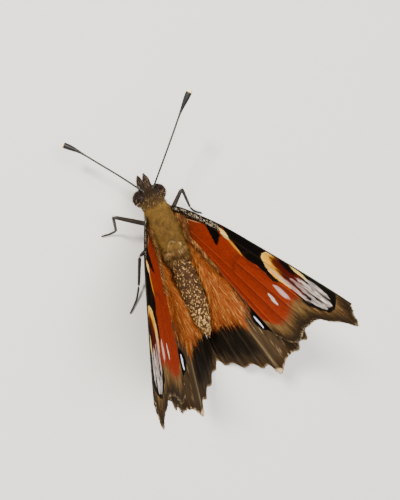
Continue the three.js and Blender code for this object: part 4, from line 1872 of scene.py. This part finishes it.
@dataclass
class Face:
    """Eyes, palps, antennae and the coiled feeding tube."""

    eye_radius: float = 1.12
    eye: Point = (1.35, -5.5, -1.38)
    eye_hairs: int = 2400
    eye_hair_length: tuple[float, float] = (0.16, 0.34)
    palp: tuple[Point, ...] = ((0.45, -5.9, -2.1), (0.5, -7.4, -1.85), (0.48, -8.6, -1.3))
    palp_radii: tuple[float, ...] = (0.3, 0.42, 0.4, 0.2)
    palp_hairs: int = 2600
    palp_hair_length: tuple[float, float] = (0.5, 0.8)
    shaft: tuple[float, ...] = (0.14,) * 16
    club: tuple[float, ...] = (0.16, 0.22, 0.32, 0.41, 0.45, 0.42)
    coil_centre: tuple[float, float] = (-6.9, -3.65)
    coil_radii: tuple[float, float] = (1.02, 0.22)
    coil_turns: float = 2.6
    coil_steps: int = 34
    coil_thickness: tuple[float, ...] = (0.13, 0.12, 0.1, 0.07)
    antennae: dict[Side, list[Point]] = field(default_factory=lambda: {
        Side.LEFT: [(0.5, -5.9, -0.5), (2.7, -9.2, -0.4), (5.0, -12.6, -1.0), (7.0, -15.5, -1.6),
                    (8.6, -17.2, -2.0)],
        Side.RIGHT: [(-0.5, -5.9, -0.5), (-3.5, -9.1, 1.0), (-6.1, -11.9, 2.0), (-8.4, -14.4, 3.0),
                     (-10.6, -16.5, 4.1)],
    })

    def build(self, anchor: Anchor, finishes: Finishes) -> None:
        """Makes the pieces of both sides and the coil between them.

        Args:
            anchor: the scene's place of the animal.
            finishes: the materials.
        """
        for side in Side:
            hand = side.value
            self.eyeball(anchor, side, finishes[Finish.EYE])
            self.lashes(anchor, side, finishes[Finish.LASHES])
            path = [(hand * x, y, z) for x, y, z in self.palp]
            limb = Limb(path, list(self.palp_radii), along=24)
            palp = limb.build(anchor, f"palp_horn_{side.tag}", finishes[Finish.HORN])
            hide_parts(f"palp_{side.tag}")
            self.palp_fur(anchor, path, side, finishes[Finish.PALP_FUR])
            feeler = Limb(self.antennae[side], list(self.shaft + self.club), along=120)
            made = feeler.build(anchor, f"antenna_ringed_{side.tag}", finishes[Finish.ANTENNA])
            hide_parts(f"antenna_{side.tag}")
        self.coil(anchor, finishes[Finish.HORN])

    def eyeball(self, anchor: Anchor, side: Side, finish: bpy.types.Material) -> None:
        """A smooth compound eye.

        Args:
            anchor: the scene's place of the animal.
            side: the animal's left or right.
            finish: its material.
        """
        shape = bmesh.new()
        bmesh.ops.create_uvsphere(shape, u_segments=40, v_segments=24, radius=self.eye_radius * MM)
        spot = anchor.point((side.value * self.eye[0], self.eye[1], self.eye[2]))
        bmesh.ops.translate(shape, verts=shape.verts, vec=spot)
        made = piece(f"eye_smooth_{side.tag}", shape, [finish])
        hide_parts(f"eye_{side.tag}")

    def lashes(self, anchor: Anchor, side: Side, finish: bpy.types.Material) -> None:
        """Short fine hair that stands all over an eye.

        Args:
            anchor: the scene's place of the animal.
            side: the animal's left or right.
            finish: its material.
        """
        draw = np.random.default_rng(LASH_SEED + side.value)
        out = unit(draw.normal(0, 1, (self.eye_hairs, 3)))
        out = out[out[:, 0] * side.value > -0.3]
        count = len(out)
        centre = np.array([side.value * self.eye[0], self.eye[1], self.eye[2]])
        lie = out + draw.normal(0, 0.25, (count, 3))
        turn = np.arctan2(out[:, 1], out[:, 0]) / (2 * math.pi) + 0.5
        behind = smooth(out[:, 1] + out[:, 2] * 0.3, 0.0, 0.6)
        tone = np.clip(draw.random(count) * 0.72 + behind * 0.12, 0, 1)
        length = draw.uniform(*self.eye_hair_length, count)
        coat = Tufts(centre + out * self.eye_radius, lie, np.roll(out, 1, axis=1), length, 0.045, tone,
                     np.stack([turn, out[:, 2] / 2 + 0.5], axis=1), lift=0.1)
        made = coat.build(anchor, f"eye_hair_{side.tag}", finish)

    def palp_fur(self, anchor: Anchor, path: list[Point], side: Side, finish: bpy.types.Material) -> None:
        """Forward-lying bristles that make each palp a brush with a rounded tip.

        Args:
            anchor: the scene's place of the animal.
            path: the palp's middle line.
            side: the animal's left or right.
            finish: its material.
        """
        draw = np.random.default_rng(PALP_SEED + side.value)
        count = self.palp_hairs
        share = draw.uniform(0.05, 1.0, count)
        track = Track(path)
        ahead = unit(track.along(np.minimum(share + 0.02, 1)) - track.along(share - 0.02))
        out = unit(np.cross(ahead, draw.normal(0, 1, (count, 3))))
        full = (1.0 - share**6)[:, None]
        roots = track.along(share) + out * 0.25 * full
        length = draw.uniform(*self.palp_hair_length, count) * (1.1 - 0.6 * share)
        tone = draw.random(count)
        unwrap = np.stack([share, draw.random(count)], axis=1)
        coat = Tufts(roots, ahead + out * 0.55 * full, out, length, 0.05, tone, unwrap, lift=0.2)
        made = coat.build(anchor, f"palp_brush_{side.tag}", finish)

    def coil(self, anchor: Anchor, finish: bpy.types.Material) -> None:
        """The feeding tube, rolled up between the palps.

        Args:
            anchor: the scene's place of the animal.
            finish: its material.
        """
        path = []
        wide, narrow = self.coil_radii
        for share in np.linspace(0, 1, self.coil_steps):
            turn = math.pi * 0.4 - 2 * math.pi * self.coil_turns * share
            radius = wide + (narrow - wide) * share
            path.append((0.0, self.coil_centre[0] - math.cos(turn) * radius,
                         self.coil_centre[1] + math.sin(turn) * radius))
        made = Limb(path, list(self.coil_thickness), along=160).build(anchor, "feeding_tube", finish)
        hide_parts("proboscis")


@dataclass
class Legs:
    """Four walking legs, and the short brush legs in front."""

    mid: dict[Side, list[Point]] = field(default_factory=lambda: {
        Side.LEFT: [(1.2, -1.4, -2.2), (2.7, -2.4, -2.6), (6.2, -4.6, -0.9), (6.3, -2.9, -5.9),
                    (7.4, -2.9, -6.8), (8.7, -3.1, -7.05)],
        Side.RIGHT: [(-1.2, -1.4, -2.2), (-2.6, -2.4, -2.6), (-4.9, -4.6, -1.1), (-6.1, -1.7, -5.9),
                     (-6.8, -0.9, -6.8), (-7.9, -0.1, -7.05)],
    })
    hind: dict[Side, list[Point]] = field(default_factory=lambda: {
        Side.LEFT: [(0.8, 0.9, -2.4), (2.3, 1.3, -3.6), (4.9, 2.2, -2.7), (6.6, 6.4, -5.9),
                    (7.8, 8.3, -6.8), (9.6, 9.9, -7.05)],
        Side.RIGHT: [(-0.8, 0.9, -2.4), (-2.3, 1.3, -3.6), (-4.9, 2.2, -2.7), (-6.6, 6.4, -5.9),
                     (-7.8, 8.3, -6.8), (-9.6, 9.9, -7.05)],
    })
    fore: tuple[Point, ...] = ((0.9, -3.3, -2.4), (1.25, -4.6, -3.5), (1.1, -5.6, -4.1), (0.95, -6.5, -4.3))
    thigh: tuple[float, ...] = (0.4, 0.36, 0.27)
    shin: tuple[float, ...] = (0.26, 0.23, 0.19)
    foot: tuple[float, ...] = (0.18, 0.16, 0.13)
    brush: tuple[float, ...] = (0.3, 0.3, 0.26, 0.2)
    hairs: int = 420
    spines: int = 90

    def build(self, anchor: Anchor, finishes: Finishes) -> None:
        """Makes each leg of both sides.

        Args:
            anchor: the scene's place of the animal.
            finishes: the materials.
        """
        for side in Side:
            for label, path in (("mid", self.mid[side]), ("hind", self.hind[side])):
                self.leg(anchor, f"{label}leg", side, path, finishes)
            path = [(side.value * x, y, z) for x, y, z in self.fore]
            limb = Limb(path, list(self.brush), along=24)
            made = limb.build(anchor, f"brush_leg_{side.tag}", finishes[Finish.HORN])
            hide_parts(f"foreleg_{side.tag}")
            fur = finishes[Finish.FACE_FUR]
            self.bristles(anchor, f"brush_leg_hair_{side.tag}", path, self.hairs, 0.5, 0.25, fur)

    def leg(self, anchor: Anchor, label: str, side: Side, path: list[Point], finishes: Finishes) -> None:
        """One leg in three lengths, with spines along the shin and the foot.

        Args:
            anchor: the scene's place of the animal.
            label: the leg's name.
            side: the animal's left or right.
            path: its joints, from the body to the claw.
            finishes: the materials.
        """
        parts = (("thigh", path[:3], self.thigh), ("shin", path[2:4], self.shin),
                 ("foot", path[3:], self.foot))
        for part, spots, radii in parts:
            limb = Limb(spots, list(radii), along=24)
            made = limb.build(anchor, f"{label}_{part}_{side.tag}", finishes[Finish.HORN])
            if part == "thigh":
                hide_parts(f"{label}_{side.tag}")
        hair = finishes[Finish.LEG_HAIR]
        self.bristles(anchor, f"{label}_spines_{side.tag}", path[2:], self.spines, 0.3, 0.14, hair)
        self.bristles(anchor, f"{label}_hair_{side.tag}", path[:4], self.hairs, 0.3, 0.2, hair)

    def bristles(self, anchor: Anchor, name: str, path: list[Point], count: int, length: float,
                 reach: float, finish: bpy.types.Material) -> None:
        """Short hair along a limb, leaning toward its end.

        Args:
            anchor: the scene's place of the animal.
            name: the piece's name.
            path: the limb's joints.
            count: how many hairs there are.
            length: how long the longest is.
            reach: the limb's radius.
            finish: its material.
        """
        draw = np.random.default_rng(BRISTLE_SEED + len(name) + int(path[0][0] > 0))
        spots = np.array(path)
        steps = np.linalg.norm(np.diff(spots, axis=0), axis=1)
        ends = np.concatenate([[0], np.cumsum(steps)])
        place = draw.uniform(0, ends[-1], count)
        index = np.clip(np.searchsorted(ends, place) - 1, 0, len(steps) - 1)
        share = (place - ends[index]) / steps[index]
        run = spots[index + 1] - spots[index]
        ahead = unit(run)
        out = unit(np.cross(ahead, draw.normal(0, 1, (count, 3))))
        roots = spots[index] + run * share[:, None] + out * reach * 0.7
        size = draw.uniform(0.5, 1.0, count) * length
        tone = draw.random(count)
        unwrap = np.stack([place / ends[-1], draw.random(count)], axis=1)
        coat = Tufts(roots, ahead + out * 0.5, out, size, 0.05, tone, unwrap, lift=0.2)
        made = coat.build(anchor, name, finish)


# Setting and light
@dataclass(frozen=True)
class Lamp:
    """A square lamp that faces the middle of the floor, in metres and watts."""

    name: str
    place: Point
    watts: float
    size: float
    colour: Colour

    def build(self) -> None:
        """Hangs the lamp and turns it."""
        data = bpy.data.lights.new(self.name, "AREA")
        data.energy = self.watts
        data.size = self.size
        data.color = self.colour
        made = bpy.data.objects.new(self.name, data)
        made.location = self.place
        made.rotation_euler = (-Vector(self.place)).to_track_quat("-Z", "Y").to_euler()
        bpy.context.scene.collection.objects.link(made)


@dataclass
class Studio:
    """Camera at the photograph's place, a pale floor and soft light."""

    camera_place: Point = (11.49, 1.36, 65.02)
    aim: Point = (-0.2226, 0.0532, -0.9735)
    up: Point = (-0.4059, -0.9129, 0.0429)
    focal_pixels: float = 450.0
    picture_width: float = 400.0
    sensor: float = 36.0
    clip_start: float = 0.002
    floor_half: float = 0.6
    key: Lamp = Lamp("key light", (0.13, -0.24, 0.38), 3.4, 0.08, (1.0, 0.95, 0.87))
    fill: Lamp = Lamp("fill light", (-0.07, 0.02, 0.48), 3.5, 0.25, (1.0, 0.98, 0.95))
    sky: tuple[float, float, float, float] = (0.95, 0.96, 1.0, 1.0)
    sky_strength: float = 0.45

    def build(self, anchor: Anchor, floor_finish: bpy.types.Material) -> None:
        """Sets the camera, the floor and the lights.

        Args:
            anchor: the scene's place of the animal.
            floor_finish: the floor's material.
        """
        self.camera(anchor)
        self.floor(floor_finish)
        self.key.build()
        self.fill.build()
        world = bpy.data.worlds.new("studio")
        world.use_nodes = True
        background = world.node_tree.nodes["Background"]
        background.inputs["Color"].default_value = self.sky
        background.inputs["Strength"].default_value = self.sky_strength
        bpy.context.scene.world = world

    def camera(self, anchor: Anchor) -> None:
        """Places the camera by its aim and its up direction.

        Args:
            anchor: the scene's place of the animal.
        """
        data = bpy.data.cameras.new("photo camera")
        data.sensor_fit = "HORIZONTAL"
        data.sensor_width = self.sensor
        data.lens = self.sensor * self.focal_pixels / self.picture_width
        data.clip_start = self.clip_start
        back = -Vector(self.aim).normalized()
        right = Vector(self.up).cross(back).normalized()
        above = back.cross(right)
        turn = Matrix((right, above, back)).transposed().to_4x4()
        made = bpy.data.objects.new("photo camera", data)
        made.matrix_world = Matrix.Translation(anchor.point(self.camera_place)) @ turn
        bpy.context.scene.collection.objects.link(made)
        bpy.context.scene.camera = made

    def floor(self, finish: bpy.types.Material) -> None:
        """A flat square under the feet.

        Args:
            finish: its material.
        """
        shape = bmesh.new()
        bmesh.ops.create_grid(shape, x_segments=1, y_segments=1, size=self.floor_half)
        mesh = bpy.data.meshes.new("floor")
        shape.to_mesh(mesh)
        shape.free()
        mesh.materials.append(finish)
        made = bpy.data.objects.new("floor", mesh)
        bpy.context.scene.collection.objects.link(made)


# The hair's tones: a dark, a light and a pale one, and the share of pale hairs
HAIR_FINISHES = {
    Finish.THORAX_FUR: HairFinish("thorax fur", OLIVE_DARK, OLIVE_FUR, SHIELD_RIM, 0.05, mottle=0.7),
    Finish.COLLAR_FUR: HairFinish("collar fur", COLLAR_DARK, COLLAR_LIGHT, COLLAR_PALE, 0.08),
    Finish.WAIST_FUR: HairFinish("waist fur", WAIST_DARK, WAIST_LIGHT, WAIST_PALE, 0.12),
    Finish.BELLY_SCALES: HairFinish("belly scales", BELLY_DARK, BELLY_LIGHT, SPECKLE, 0.22),
    Finish.FACE_FUR: HairFinish("face fur", FACE_BLACK, FACE_LIGHT, FACE_PALE, 0.14),
    Finish.LASHES: HairFinish("eye hair", LASH_DARK, LASH_LIGHT, LASH_PALE, 0.3),
    Finish.WING_ROOT_HAIR: HairFinish("wing root hair", ROOT_DARK, ROOT_LIGHT, ROOT_GOLD, 0.12),
    Finish.PALP_FUR: HairFinish("palp fur", PALP_DARK, PALP_LIGHT, PALP_PALE, 0.06),
    Finish.LEG_HAIR: HairFinish("leg hair", LEG_DARK, LEG_LIGHT, LEG_PALE, 0.1),
    Finish.HIND_HAIR: HairFinish("hindwing hair", ORANGE_DARK, ORANGE_HAIR, GOLD_HAIR, 0.14),
    Finish.FRINGE: HairFinish("margin fringe", DARK_BROWN, FRINGE_LIGHT, TAN, 0.22),
    Finish.COSTAL_HAIR: HairFinish("costal hair", SOOT, COSTA_DARK, COSTA_PALE, 0.24),
}


def finishes_of(anchor: Anchor) -> Finishes:
    """Every material that the pieces ask for.

    Args:
        anchor: the scene's place of the animal.

    Returns:
        The materials.
    """
    neck, waist = (anchor.point((0.0, y, 0.0)).y / MM for y in (NECK, WAIST))
    recipes = {
        Finish.FORE_UPPER: ForewingUpper(),
        Finish.HIND_UPPER: HindwingUpper(),
        Finish.UNDER: WingUnder(),
        Finish.SKIN: SkinFinish("body skin", neck, waist),
        **HAIR_FINISHES,
        Finish.HORN: HornFinish(),
        Finish.ANTENNA: AntennaFinish(),
        Finish.EYE: EyeFinish(),
    }
    return {key: recipe.build() for key, recipe in recipes.items()}


def main() -> None:
    """Builds the butterfly over its frame, in order."""
    logging.basicConfig(level=logging.INFO, format="%(message)s")
    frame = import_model()
    LOG.info("frame: %d nodes", len(frame["nodes"]))
    anchor = Anchor()
    Studio().build(anchor, FloorFinish().build())
    finishes = finishes_of(anchor)
    Wings().build(anchor, finishes)
    Trunk().build(anchor, finishes)
    Face().build(anchor, finishes)
    Legs().build(anchor, finishes)


if __name__ == "__main__":
    main()
